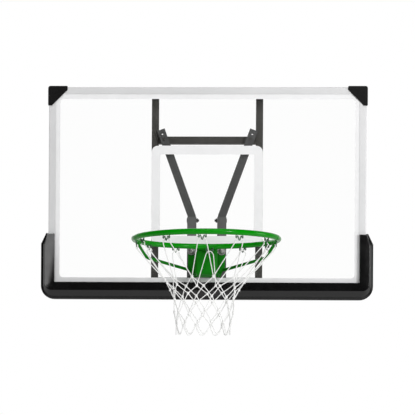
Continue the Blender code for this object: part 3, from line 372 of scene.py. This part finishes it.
def pad_skin():
    colour = tuple(finishes().foam)
    coat = Look("pad_skin", colour, 0.14, Specular_IOR_Level=0.5)
    coat.mottle(tinted(colour, 0.8), tinted(colour, 1.25), coat.noise(7))
    coat.uneven_gloss(coat.noise(30, 3), 0.11, 0.17)
    grain = coat.node("ShaderNodeTexVoronoi", Scale=520.0)
    coat.link(coat.place, grain.inputs["Vector"])
    coat.bump(grain.outputs["Distance"], 0.00008, 0.25)
    coat.bump(coat.noise(6, 2), 0.0008, 0.1)
    return coat.material


def cap_plastic():
    colour = tuple(finishes().cap)
    coat = Look("cap_plastic", colour, 0.35, Specular_IOR_Level=0.25)
    coat.mottle(tinted(colour, 0.85), tinted(colour, 1.2), coat.noise(20))
    coat.bump(coat.noise(1100, 2), 0.00012, 0.6)
    return coat.material


def anodised():
    colour = tuple(finishes().rail)
    coat = Look("anodised_rail", colour, 0.42, 0.2, Specular_IOR_Level=0.4)
    coat.mottle(tinted(colour, 0.97), tinted(colour, 1.03), coat.noise(5))
    coat.uneven_gloss(coat.noise(260, 2), 0.38, 0.48)
    coat.bump(coat.noise(900, 2, (0.02, 1, 1)), 0.00004, 0.35)
    coat.bump(coat.noise(900, 2, (1, 1, 0.02)), 0.00004, 0.35)
    return coat.material


def ink():
    colour = tuple(finishes().ink)
    coat = Look("screen_ink", colour, 0.55, Specular_IOR_Level=0.2)
    coat.mottle(tinted(colour, 0.985), tinted(colour, 1.015), coat.noise(30))
    coat.bump(coat.noise(1500, 2), 0.00003, 0.5)
    return coat.material


def zinc():
    colour = tuple(finishes().zinc)
    coat = Look("zinc_plate", colour, 0.4, 0.75)
    coat.mottle(tinted(colour, 0.8), tinted(colour, 1.2), coat.noise(220, 4))
    coat.uneven_gloss(coat.noise(300, 3), 0.32, 0.5)
    coat.bump(coat.noise(1200, 2), 0.00006, 0.5)
    return coat.material


def spring_steel():
    colour = (0.16, 0.16, 0.17)
    coat = Look("coil_steel", colour, 0.35, 0.85)
    coat.mottle(tinted(colour, 0.8), tinted(colour, 1.2), coat.noise(180, 3))
    coat.uneven_gloss(coat.noise(240, 2), 0.28, 0.45)
    return coat.material


def clear_plastic():
    """See-through, with the surface's own gloss laid over it by angle where light enters."""
    coat = Look("panel_plastic", (0.95, 0.96, 0.96), 0.06, Specular_IOR_Level=0.5)
    clear = coat.node("ShaderNodeBsdfTransparent")
    clear.inputs["Color"].default_value = (0.9965, 0.9975, 0.9965, 1)
    gloss = coat.node("ShaderNodeBsdfGlossy", Roughness=0.05)
    edge = coat.node("ShaderNodeFresnel", IOR=1.25)
    haze = coat.spread(coat.noise(3, 2), 0.9, 1.1)
    share = combined(coat.tree, "MULTIPLY", edge.outputs["Fac"], haze)
    face = coat.node("ShaderNodeNewGeometry")
    outer = combined(coat.tree, "SUBTRACT", 1.0, face.outputs["Backfacing"])
    coat.overlay(combined(coat.tree, "MULTIPLY", share, outer), clear.outputs["BSDF"], gloss.outputs["BSDF"])
    return coat.material


def braided_cord():
    """A braid of two crossing sets of strands, drawn in metres along the cord and turns around it."""
    colour = tuple(finishes().cord)
    coat = Look("braided_cord", colour, 0.85, Specular_IOR_Level=0.15, Sheen_Weight=0.2)
    around = coat.node("ShaderNodeUVMap", uv_map="braid").outputs["UV"]
    split = coat.node("ShaderNodeSeparateXYZ")
    coat.link(around, split.inputs["Vector"])
    slope = math.tau / bpy.context.scene.hoop_net.pitch * 2
    strands = []
    for way in (1, -1):
        turn = combined(coat.tree, "MULTIPLY", split.outputs["X"], way * 4 * math.tau)
        along = combined(coat.tree, "MULTIPLY_ADD", split.outputs["Y"], slope, turn)
        strands.append(combined(coat.tree, "SINE", along))
    weave = combined(coat.tree, "MAXIMUM", *strands)
    # The cord is a little darker between its strands: painted shade in the braid's grooves
    coat.mottle(tinted(colour, 0.9), colour, weave, -0.2, 0.9)
    coat.bump(weave, 0.00025, 0.55)
    return coat.material


LOOKS = {
    "ring_paint": paint,
    "shade_darkened_paint": shade_darkened_paint,
    "hook_paint": wire_paint,
    "powder_coat": powder_coat,
    "lit_post_coat": lit_post_coat,
    "lit_strut_coat": lit_strut_coat,
    "pad_skin": pad_skin,
    "cap_plastic": cap_plastic,
    "anodised_rail": anodised,
    "screen_ink": ink,
    "zinc_plate": zinc,
    "coil_steel": spring_steel,
    "panel_plastic": clear_plastic,
    "braided_cord": braided_cord,
}


def look(name):
    return bpy.data.materials.get(name) or LOOKS[name]()


# Shapes


def soften(shape, width, segments, angle=25.0, chosen=None):
    """Rounds every edge sharper than angle."""
    edges = []
    for edge in shape.edges:
        if len(edge.link_faces) == 2 and edge.calc_face_angle(0) > math.radians(angle):
            if chosen is None or chosen(edge):
                edges.append(edge)
    bmesh.ops.bevel(
        shape,
        geom=edges,
        offset=width,
        segments=segments,
        profile=0.5,
        affect="EDGES",
        clamp_overlap=True,
        material=-1,
    )


def finish_piece(name, shape, material, body, *nodes, angle=35.0):
    """Turns a bmesh into a piece that rides on a body and stands for CAD nodes."""
    mesh = bpy.data.meshes.new(name)
    shape.to_mesh(mesh)
    shape.free()
    mesh.shade_smooth()
    mesh.set_sharp_from_angle(angle=math.radians(angle))
    mesh.materials.append(look(material))
    piece = bpy.data.objects.new(name, mesh)
    bpy.context.scene.collection.objects.link(piece)
    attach(piece, body)
    if nodes:
        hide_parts(*nodes)
    return piece


def node_shape(node):
    """A merged copy of a CAD node with its flat faces made whole again."""
    shape = bmesh.new()
    shape.from_mesh(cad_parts[node].data)
    bmesh.ops.remove_doubles(shape, verts=shape.verts, dist=0.000002)
    bmesh.ops.dissolve_limit(
        shape,
        angle_limit=math.radians(0.5),
        verts=shape.verts,
        edges=shape.edges,
        use_dissolve_boundaries=False,
    )
    return shape


def keep_flat(piece):
    flat = piece.modifiers.new("flat_faces_stay_flat", "WEIGHTED_NORMAL")
    flat.keep_sharp = True
    return piece


def softened_node(node, material, width, segments=2, body="board", angle=25.0):
    """A copy of a CAD node with its edges rounded."""
    shape = node_shape(node)
    soften(shape, width, segments, angle)
    return keep_flat(finish_piece(f"{node}_finish", shape, material, body, node))


def repaint(node, material):
    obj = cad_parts[node]
    obj.data.materials.clear()
    obj.data.materials.append(look(material))


def path_frames(points, closed=False):
    """A turned frame at each point, carried along the path without twist."""
    count = len(points)
    tangents = []
    for i in range(count):
        if closed:
            ahead, behind = points[(i + 1) % count], points[i - 1]
        else:
            ahead, behind = points[min(i + 1, count - 1)], points[max(i - 1, 0)]
        tangents.append((ahead - behind).normalized())
    side = tangents[0].orthogonal().normalized()
    frames = []
    for i, tangent in enumerate(tangents):
        if i:
            side = (tangents[i - 1].rotation_difference(tangent) @ side).normalized()
        up = tangent.cross(side)
        turn = Matrix((side, up, tangent)).transposed().to_4x4()
        frames.append(Matrix.Translation(points[i]) @ turn)
    return frames


def sweep(points, radius, sides):
    """A round rod or cord along the points, extruded ring by ring, with a UV map for its braid."""
    shape = bmesh.new()
    frames = path_frames(points)
    made = bmesh.ops.create_circle(shape, cap_ends=True, radius=radius, segments=sides, matrix=frames[0])
    ring = made["verts"]
    cap = ring[0].link_faces[0]
    edges = list(cap.edges)
    rings = [list(cap.verts)]
    for i in range(1, len(frames)):
        out = bmesh.ops.extrude_edge_only(shape, edges=edges)["geom"]
        verts = [item for item in out if isinstance(item, bmesh.types.BMVert)]
        edges = [item for item in out if isinstance(item, bmesh.types.BMEdge)]
        move = frames[i] @ frames[i - 1].inverted()
        bmesh.ops.transform(shape, matrix=move, verts=verts)
        rings.append(verts)
    bmesh.ops.contextual_create(shape, geom=edges)
    bmesh.ops.recalc_face_normals(shape, faces=shape.faces)
    lay_braid(shape, frames, rings)
    return shape


def lay_braid(shape, frames, rings):
    """UVs with turns around the cord in U and metres along it in V."""
    layer = shape.loops.layers.uv.new("braid")
    where = {}
    along = 0.0
    for i, (place, ring) in enumerate(zip(frames, rings)):
        if i:
            along += (place.translation - frames[i - 1].translation).length
        back = place.inverted()
        for vert in ring:
            local = back @ vert.co
            where[vert] = (math.atan2(local.y, local.x) / math.tau, along)
    for face in shape.faces:
        turns = [where[loop.vert][0] for loop in face.loops]
        wraps = max(turns) - min(turns) > 0.5
        for loop, turn in zip(face.loops, turns):
            if wraps and turn < 0:
                turn += 1
            loop[layer].uv = (turn, where[loop.vert][1])


def pour(target, source):
    """Adds one bmesh's faces to another."""
    mesh = bpy.data.meshes.new("poured")
    source.to_mesh(mesh)
    source.free()
    target.from_mesh(mesh)
    bpy.data.meshes.remove(mesh)


def smooth_path(points, step):
    """A Catmull-Rom curve through the points, with a point about every step."""
    path = []
    for i in range(len(points) - 1):
        a = points[max(i - 1, 0)]
        b = points[i]
        c = points[i + 1]
        d = points[min(i + 2, len(points) - 1)]
        count = max(2, round((c - b).length / step))
        for k in range(count):
            t = k / count
            path.append(
                0.5
                * (
                    2 * b
                    + (c - a) * t
                    + (2 * a - 5 * b + 4 * c - d) * t * t
                    + (3 * b - 3 * c + d - a) * t * t * t
                )
            )
    path.append(points[-1])
    return path


def ring_spot(angle, radius, height):
    """A point about the ring's axis, with angle 0 at the player's side."""
    return RING_CENTRE + Vector((radius * math.sin(angle), -radius * math.cos(angle), height))


def hook_angle(step):
    return HOOK_START + math.tau * step / HOOKS


def outward_from_ring(place):
    """The level direction from the ring's axis to a place."""
    outward = place - RING_CENTRE
    outward.z = 0
    return outward.normalized()


# Operators


class HOOP_OT_board(bpy.types.Operator):
    """Clear panel with its printed border and target square"""

    bl_idname = "hoop.board"
    bl_label = "Panel and printed lines"

    def execute(self, context):
        softened_node("board_panel", "panel_plastic", PANEL_EDGE)
        repaint("border_print", "screen_ink")
        repaint("target_print", "screen_ink")
        return {"FINISHED"}


class HOOP_OT_rails(bpy.types.Operator):
    """Mitred aluminium rails round the panel"""

    bl_idname = "hoop.rails"
    bl_label = "Rails"

    def execute(self, context):
        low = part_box("rail_bottom")[0]
        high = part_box("rail_top")[1]

        def outer_front(edge):
            middle = (edge.verts[0].co + edge.verts[1].co) / 2
            outer = min(middle.x - low.x, high.x - middle.x, middle.z - low.z, high.z - middle.z)
            return outer < 0.0001 and middle.y < low.y + 0.0001

        for side in ("top", "bottom", "left", "right"):
            shape = node_shape(f"rail_{side}")
            soften(shape, RAIL_NOSE, 5, 25.0, outer_front)
            soften(shape, RAIL_EDGE, 2, 40.0)
            keep_flat(finish_piece(f"rail_{side}_finish", shape, "anodised_rail", "board", f"rail_{side}"))
        return {"FINISHED"}


class HOOP_OT_caps(bpy.types.Operator):
    """Moulded caps on the board's upper corners"""

    bl_idname = "hoop.caps"
    bl_label = "Corner caps"

    def execute(self, context):
        for side in ("left", "right"):
            softened_node(f"corner_cap_{side}", "cap_plastic", CAP_EDGE, 3)
        return {"FINISHED"}


class HOOP_OT_pad(bpy.types.Operator):
    """Moulded pad over the board's lower edge"""

    bl_idname = "hoop.pad"
    bl_label = "Lower pad"

    def execute(self, context):
        piece = softened_node("bottom_pad", "pad_skin", PAD_EDGE, 4, angle=15.0)
        return {"FINISHED"}


class HOOP_OT_back_frame(bpy.types.Operator):
    """Uprights, crossbars, ring posts and struts behind the board"""

    bl_idname = "hoop.back_frame"
    bl_label = "Back frame"

    def execute(self, context):
        for name in ("upright_left", "upright_right", "crossbar_upper", "crossbar_lower"):
            softened_node(name, "powder_coat", TUBE_EDGE)
        for side in ("left", "right"):
            softened_node(f"ring_post_{side}", "lit_post_coat", TUBE_EDGE)
            softened_node(f"strut_{side}", "lit_strut_coat", TUBE_EDGE)
        return {"FINISHED"}


class HOOP_OT_fasteners(bpy.types.Operator):
    """Bolts, nuts, screws and washers"""

    bl_idname = "hoop.fasteners"
    bl_label = "Fasteners"

    def execute(self, context):
        coated = ("strut_head_bolt", "strut_foot_bolt", "strut_foot_nut")
        plated = (
            "strut_head_nut",
            "post_foot_screw",
            "post_foot_nut",
            "ring_bolt",
            "ring_nut",
            "ring_washer",
        )
        for side in ("left", "right"):
            for name in coated:
                softened_node(f"{name}_{side}", "powder_coat", FASTENER_EDGE)
            for name in plated:
                softened_node(f"{name}_{side}", "zinc_plate", FASTENER_EDGE)
            for level in ("top", "bottom"):
                softened_node(f"upright_bolt_{level}_{side}", "zinc_plate", FASTENER_EDGE)
                softened_node(f"upright_nut_{level}_{side}", "zinc_plate", FASTENER_EDGE)
        return {"FINISHED"}


class HOOP_OT_hinge(bpy.types.Operator):
    """Fixed plate with its ears, hinge pin, stud and spring"""

    bl_idname = "hoop.hinge"
    bl_label = "Hinge and spring"

    def execute(self, context):
        softened_node("mount_plate", "shade_darkened_paint", PLATE_EDGE)
        # The pin and its clip take the hooks' dark green: painted shade, for the shadow under the bracket's
        # wing
        for name in ("hinge_pin", "hinge_clip"):
            softened_node(name, "hook_paint", FASTENER_EDGE)
        for name in ("spring_stud", "spring_washer", "spring_nut"):
            softened_node(name, "zinc_plate", FASTENER_EDGE)
        coil()
        return {"FINISHED"}


def coil():
    """The spring's coil, from its packed box."""
    low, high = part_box("breakaway_spring")
    radius = (high.x - low.x) / 2 - SPRING_WIRE
    centre_z = (low.z + high.z) / 2
    start = high.y - SPRING_WIRE
    length = high.y - low.y - 2 * SPRING_WIRE
    steps = SPRING_TURNS * TURN_STEPS
    points = []
    for i in range(steps + 1):
        share = i / steps
        angle = math.tau * SPRING_TURNS * share
        x = radius * math.cos(angle)
        z = centre_z + radius * math.sin(angle)
        points.append(Vector((x, start - length * share, z)))
    shape = sweep(points, SPRING_WIRE, CORD_SIDES)
    piece = finish_piece("breakaway_spring_finish", shape, "coil_steel", "board", "breakaway_spring")
    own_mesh(piece)


class HOOP_OT_bracket(bpy.types.Operator):
    """Hinged bracket and the cover under its tongue"""

    bl_idname = "hoop.bracket"
    bl_label = "Bracket and cover"

    def execute(self, context):
        softened_node("ring_bracket", "shade_darkened_paint", TUBE_EDGE, body="ring")
        softened_node("spring_cover", "shade_darkened_paint", TUBE_EDGE, body="ring", angle=30.0)
        return {"FINISHED"}


class HOOP_OT_ring(bpy.types.Operator):
    """Rod ring with its welded wire hooks"""

    bl_idname = "hoop.ring"
    bl_label = "Ring and hooks"

    def execute(self, context):
        shape = bmesh.new()
        start = RING_CENTRE + Vector((RING_RADIUS, 0, 0))
        upright = Matrix.Rotation(math.pi / 2, 4, "X")
        place = Matrix.Translation(start) @ upright
        made = bmesh.ops.create_circle(
            shape, cap_ends=False, radius=ROD_RADIUS, segments=ROD_SIDES, matrix=place
        )
        edges = list({edge for vert in made["verts"] for edge in vert.link_edges})
        bmesh.ops.spin(
            shape,
            geom=made["verts"] + edges,
            cent=RING_CENTRE,
            axis=(0, 0, 1),
            angle=math.tau,
            steps=RING_STEPS,
            use_merge=True,
            use_duplicate=False,
        )
        bmesh.ops.remove_doubles(shape, verts=shape.verts, dist=0.000001)
        bmesh.ops.recalc_face_normals(shape, faces=shape.faces)
        ring = finish_piece("ring_rod", shape, "ring_paint", "ring", "ring_hoop")
        hooks = bmesh.new()
        for step in range(HOOKS):
            wire = smooth_path(hook_points(hook_angle(step)), WIRE_STEP)
            pour(hooks, sweep(wire, HOOK_WIRE, WIRE_SIDES))
        wires = finish_piece("net_hooks", hooks, "hook_paint", "ring")
        return {"FINISHED"}


def hook_points(angle):
    """A bent wire with a deep bowl between two curls, welded to the rod at both ends."""
    along = Vector((math.cos(angle), math.sin(angle), 0))
    middle = ring_spot(angle, RING_RADIUS - HOOK_INSET, 0)
    outline = [(-out, share) for out, share in reversed(HOOK_HALF)] + list(HOOK_HALF)
    top = middle - Vector((0, 0, HOOK_TOP))
    return [top + along * out - Vector((0, 0, HOOK_DEPTH * share)) for out, share in outline]


class HOOP_OT_braces(bpy.types.Operator):
    """Bent rods from the ring's sides to the bracket's wings"""

    bl_idname = "hoop.braces"
    bl_label = "Braces"

    def execute(self, context):
        for side in ("left", "right"):
            softened_node(f"brace_{side}", "shade_darkened_paint", FASTENER_EDGE, body="ring", angle=60.0)
        return {"FINISHED"}


def net_spot(step, radius, drop, shift=0.0):
    """A point on the net, which leans and twists a little more the lower it hangs."""
    hang = (drop - LOOP_DROP) / (HEM_DROP - LOOP_DROP)
    angle = hook_angle(step) + shift / radius + TWIST * hang * abs(hang)
    tip = TIP * hang * (1 - hang) * math.cos(angle)
    return ring_spot(angle, radius, tip - drop) - Vector((LEAN * hang, 0, 0))


class HOOP_OT_net(bpy.types.Operator):
    """Corded net with twelve loops, five rows of knots and a looped hem"""

    bl_idname = "hoop.net"
    bl_label = "Net"

    def execute(self, context):
        sizes = context.scene.hoop_net
        cord = sizes.cord / 2
        knots = knot_places()
        net = bmesh.new()
        for i in range(HOOKS):
            paths = [loop_path(i, knots[0], cord, sizes.arch / 2)]
            for row in range(len(KNOT_ROWS) - 1):
                other = (i + 1) % HOOKS if row % 2 == 0 else i - 1
                for foot, bow in zip((i, other), BOWS):
                    paths.append(bowed(knots[row][i], knots[row + 1][foot], bow))
            paths.append(hem_path(i, knots[-1]))
            for path in paths:
                pour(net, sweep(path, cord, CORD_SIDES))
            for row in knots:
                pour(net, knot(row[i], cord))
        piece = finish_piece("net_cords", net, "braided_cord", "ring", "net", angle=80.0)
        return {"FINISHED"}


def knot_places():
    """The knots of each row, which lie between the hooks in one row and under them in the next."""
    rows = []
    for row, (drop, radius) in enumerate(KNOT_ROWS):
        shift = 0.5 if row % 2 == 0 else 0.0
        steps = [i + shift + SLIPS[row][i] / (360 / HOOKS) for i in range(HOOKS)]
        rows.append([net_spot(step, radius, drop) for step in steps])
    return rows


def loop_path(i, row, cord, half_width):
    """A loop from one knot of the first row over a hook to the next."""
    hooked = RING_RADIUS - HOOK_INSET - HOOK_WIRE - cord - FIT
    half = [(hooked - inset, drop, half_width * share) for inset, drop, share in LOOP_HALF]
    rising = [net_spot(i, radius, drop, -out) for radius, drop, out in half]
    falling = [net_spot(i, radius, drop, out) for radius, drop, out in reversed(half[:-1])]
    return smooth_path([row[i - 1], *rising, *falling, row[i]], CORD_STEP)


def hem_path(i, row):
    """A loop that hangs between two knots of the last row."""
    down = [net_spot(i - step, radius, drop, -out) for step, radius, drop, out in HEM_HALF]
    up = [net_spot(i + step, radius, drop, out) for step, radius, drop, out in reversed(HEM_HALF)]
    return smooth_path([row[i - 1], *down, *up, row[i]], CORD_STEP)


def bowed(top, foot, bow):
    """A slack stretch of cord that bows outward a little between two knots."""
    middle = (top + foot) / 2
    middle = middle + outward_from_ring(middle) * bow
    return smooth_path([top, middle, foot], CORD_STEP)


def knot(place, cord):
    """Turns of cord pulled tight round a crossing."""
    steps = 10 * KNOT_TURNS
    up = Vector((0, 0, 1))
    outward = outward_from_ring(place)
    sideways = outward.cross(up)
    points = []
    for i in range(steps + 1):
        turn = math.tau * KNOT_TURNS * i / steps
        rise = (i / steps - 0.5) * cord * KNOT_HEIGHT
        points.append(
            place
            + outward * (math.cos(turn) * cord * KNOT_DEPTH)
            + sideways * (math.sin(turn) * cord * KNOT_WIDTH)
            + up * (rise + math.sin(turn) * cord * KNOT_SLANT)
        )
    return sweep(points, cord * KNOT_CORD, KNOT_SIDES)


class HOOP_OT_stage(bpy.types.Operator):
    """Camera, pale floor, world and soft studio lamps"""

    bl_idname = "hoop.stage"
    bl_label = "Stage"

    def execute(self, context):
        scene = context.scene
        stage = scene.hoop_stage
        scene.view_settings.view_transform = "Standard"
        camera = bpy.data.cameras.new("camera")
        camera.lens = stage.lens
        camera.sensor_width = 36
        # The camera's place and small turns, then the picture's size, middle and horizon in pixels
        right, yaw, roll = 0.02, 0.026, 0.006
        size, middle, horizon = 415, 211.5, 379.3
        camera.shift_x = (size / 2 - middle) / size + stage.lens / camera.sensor_width * yaw
        camera.shift_y = (horizon - size / 2) / size
        camera_object = bpy.data.objects.new("camera", camera)
        scene.collection.objects.link(camera_object)
        camera_object.location = (right, -stage.distance, RING_CENTRE.z - stage.drop)
        camera_object.rotation_euler = (math.pi / 2, -roll, yaw)
        scene.camera = camera_object
        floor(RING_CENTRE.z - stage.floor)
        lamp("softbox_right", (2.9, -4.7, 0.1), (0.3, 1.1), 104)
        lamp("side_strip", (3.2, -0.5, -0.2), (1.0, 1.4), 19)
        lamp("softbox_left", (-1.9, -4.75, 0.05), (0.7, 1.2), 10.5, (-0.6, 0, -0.4))
        lamp("softbox_top", (0.3, -2.8, 2.6), (2.4, 1.4), 47)
        lamp("softbox_back", (-1.2, 3.0, 1.4), (2.5, 2.0), 26)
        studio_world(scene)
        return {"FINISHED"}


def floor(height):
    """A pale disc whose rim fades into the white surroundings, with the hoop's shadow on it."""
    shape = bmesh.new()
    radius = 4.5
    place = Matrix.Translation((0, 0, height))
    bmesh.ops.create_circle(shape, cap_ends=True, radius=radius, segments=96, matrix=place)
    mesh = bpy.data.meshes.new("floor")
    shape.to_mesh(mesh)
    shape.free()
    ground = Look("pale_floor", (0.86, 0.86, 0.86), 0.9, Specular_IOR_Level=0.0)
    length = ground.node("ShaderNodeVectorMath", operation="LENGTH")
    ground.link(ground.stretched((1, 1, 0)), length.inputs[0])
    rim = ground.spread(length.outputs["Value"], 0.45, 1.0, 1.2, radius - 0.3)
    rays = ground.node("ShaderNodeLightPath").outputs
    seen = combined(ground.tree, "MAXIMUM", rays["Is Camera Ray"], rays["Is Transmission Ray"])
    share = combined(ground.tree, "MULTIPLY", seen, rim)
    white = ground.node("ShaderNodeEmission")
    white.inputs["Color"].default_value = (1, 1, 1, 1)
    ground.overlay(share, ground.shader.outputs["BSDF"], white.outputs["Emission"])
    mesh.materials.append(ground.material)
    obj = bpy.data.objects.new("floor", mesh)
    bpy.context.scene.collection.objects.link(obj)


def lamp(name, place, size, power, target=(0, -0.2, -0.3)):
    light = bpy.data.lights.new(name, "AREA")
    light.shape = "RECTANGLE"
    light.size, light.size_y = size
    light.energy = power
    obj = bpy.data.objects.new(name, light)
    bpy.context.scene.collection.objects.link(obj)
    obj.location = place
    aim = Vector(target) - Vector(place)
    obj.rotation_euler = aim.to_track_quat("-Z", "Y").to_euler()
    obj.visible_camera = False


def studio_world(scene):
    """White to the eye and in mirrors from behind the hoop, dimmer in mirrors from the player's side."""
    world = bpy.data.worlds.new("studio")
    world.use_nodes = True
    scene.world = world
    tree = world.node_tree
    tree.nodes.clear()
    rays = tree.nodes.new("ShaderNodeLightPath").outputs
    place = tree.nodes.new("ShaderNodeTexCoord")
    split = tree.nodes.new("ShaderNodeSeparateXYZ")
    tree.links.new(place.outputs["Generated"], split.inputs["Vector"])
    behind = ranged(tree, split.outputs["Y"], 0.2, 0.95, 0.02, 0.7)
    mirrored = combined(tree, "MULTIPLY", rays["Is Glossy Ray"], behind)
    seen = combined(tree, "MAXIMUM", rays["Is Camera Ray"], rays["Is Transmission Ray"])
    above = ranged(tree, split.outputs["Z"], -0.5, 0.3, 0.56, 0.42)
    lit = combined(tree, "MULTIPLY", rays["Is Diffuse Ray"], above)
    level = combined(tree, "MAXIMUM", combined(tree, "MAXIMUM", seen, mirrored), lit)
    background = tree.nodes.new("ShaderNodeBackground")
    background.inputs["Color"].default_value = (1, 1, 1, 1)
    tree.links.new(level, background.inputs["Strength"])
    output = tree.nodes.new("ShaderNodeOutputWorld")
    tree.links.new(background.outputs["Background"], output.inputs["Surface"])


PIECES = (
    HOOP_OT_board,
    HOOP_OT_rails,
    HOOP_OT_caps,
    HOOP_OT_pad,
    HOOP_OT_back_frame,
    HOOP_OT_fasteners,
    HOOP_OT_hinge,
    HOOP_OT_bracket,
    HOOP_OT_ring,
    HOOP_OT_braces,
    HOOP_OT_net,
    HOOP_OT_stage,
)


class HOOP_PT_sidebar(bpy.types.Panel):
    """Lists the hoop's operators and settings"""

    bl_label = "Basketball Hoop"
    bl_idname = "HOOP_PT_sidebar"
    bl_space_type = "VIEW_3D"
    bl_region_type = "UI"
    bl_category = "Hoop"

    def draw(self, context):
        for piece in PIECES:
            self.layout.operator(piece.bl_idname)
        for group in (context.scene.hoop_finishes, context.scene.hoop_net, context.scene.hoop_stage):
            for name in group.__annotations__:
                self.layout.prop(group, name)


GROUPS = (("hoop_finishes", HoopFinishes), ("hoop_net", HoopNet), ("hoop_stage", HoopStage))


def register():
    for name, group in GROUPS:
        bpy.utils.register_class(group)
        setattr(bpy.types.Scene, name, bpy.props.PointerProperty(type=group))
    for piece in PIECES:
        bpy.utils.register_class(piece)
    bpy.utils.register_class(HOOP_PT_sidebar)


def unregister():
    bpy.utils.unregister_class(HOOP_PT_sidebar)
    for piece in reversed(PIECES):
        bpy.utils.unregister_class(piece)
    for name, group in reversed(GROUPS):
        delattr(bpy.types.Scene, name)
        bpy.utils.unregister_class(group)


def main():
    register()
    for piece in PIECES:
        group, name = piece.bl_idname.split(".")
        getattr(getattr(bpy.ops, group), name)()


if __name__ == "__main__":
    main()
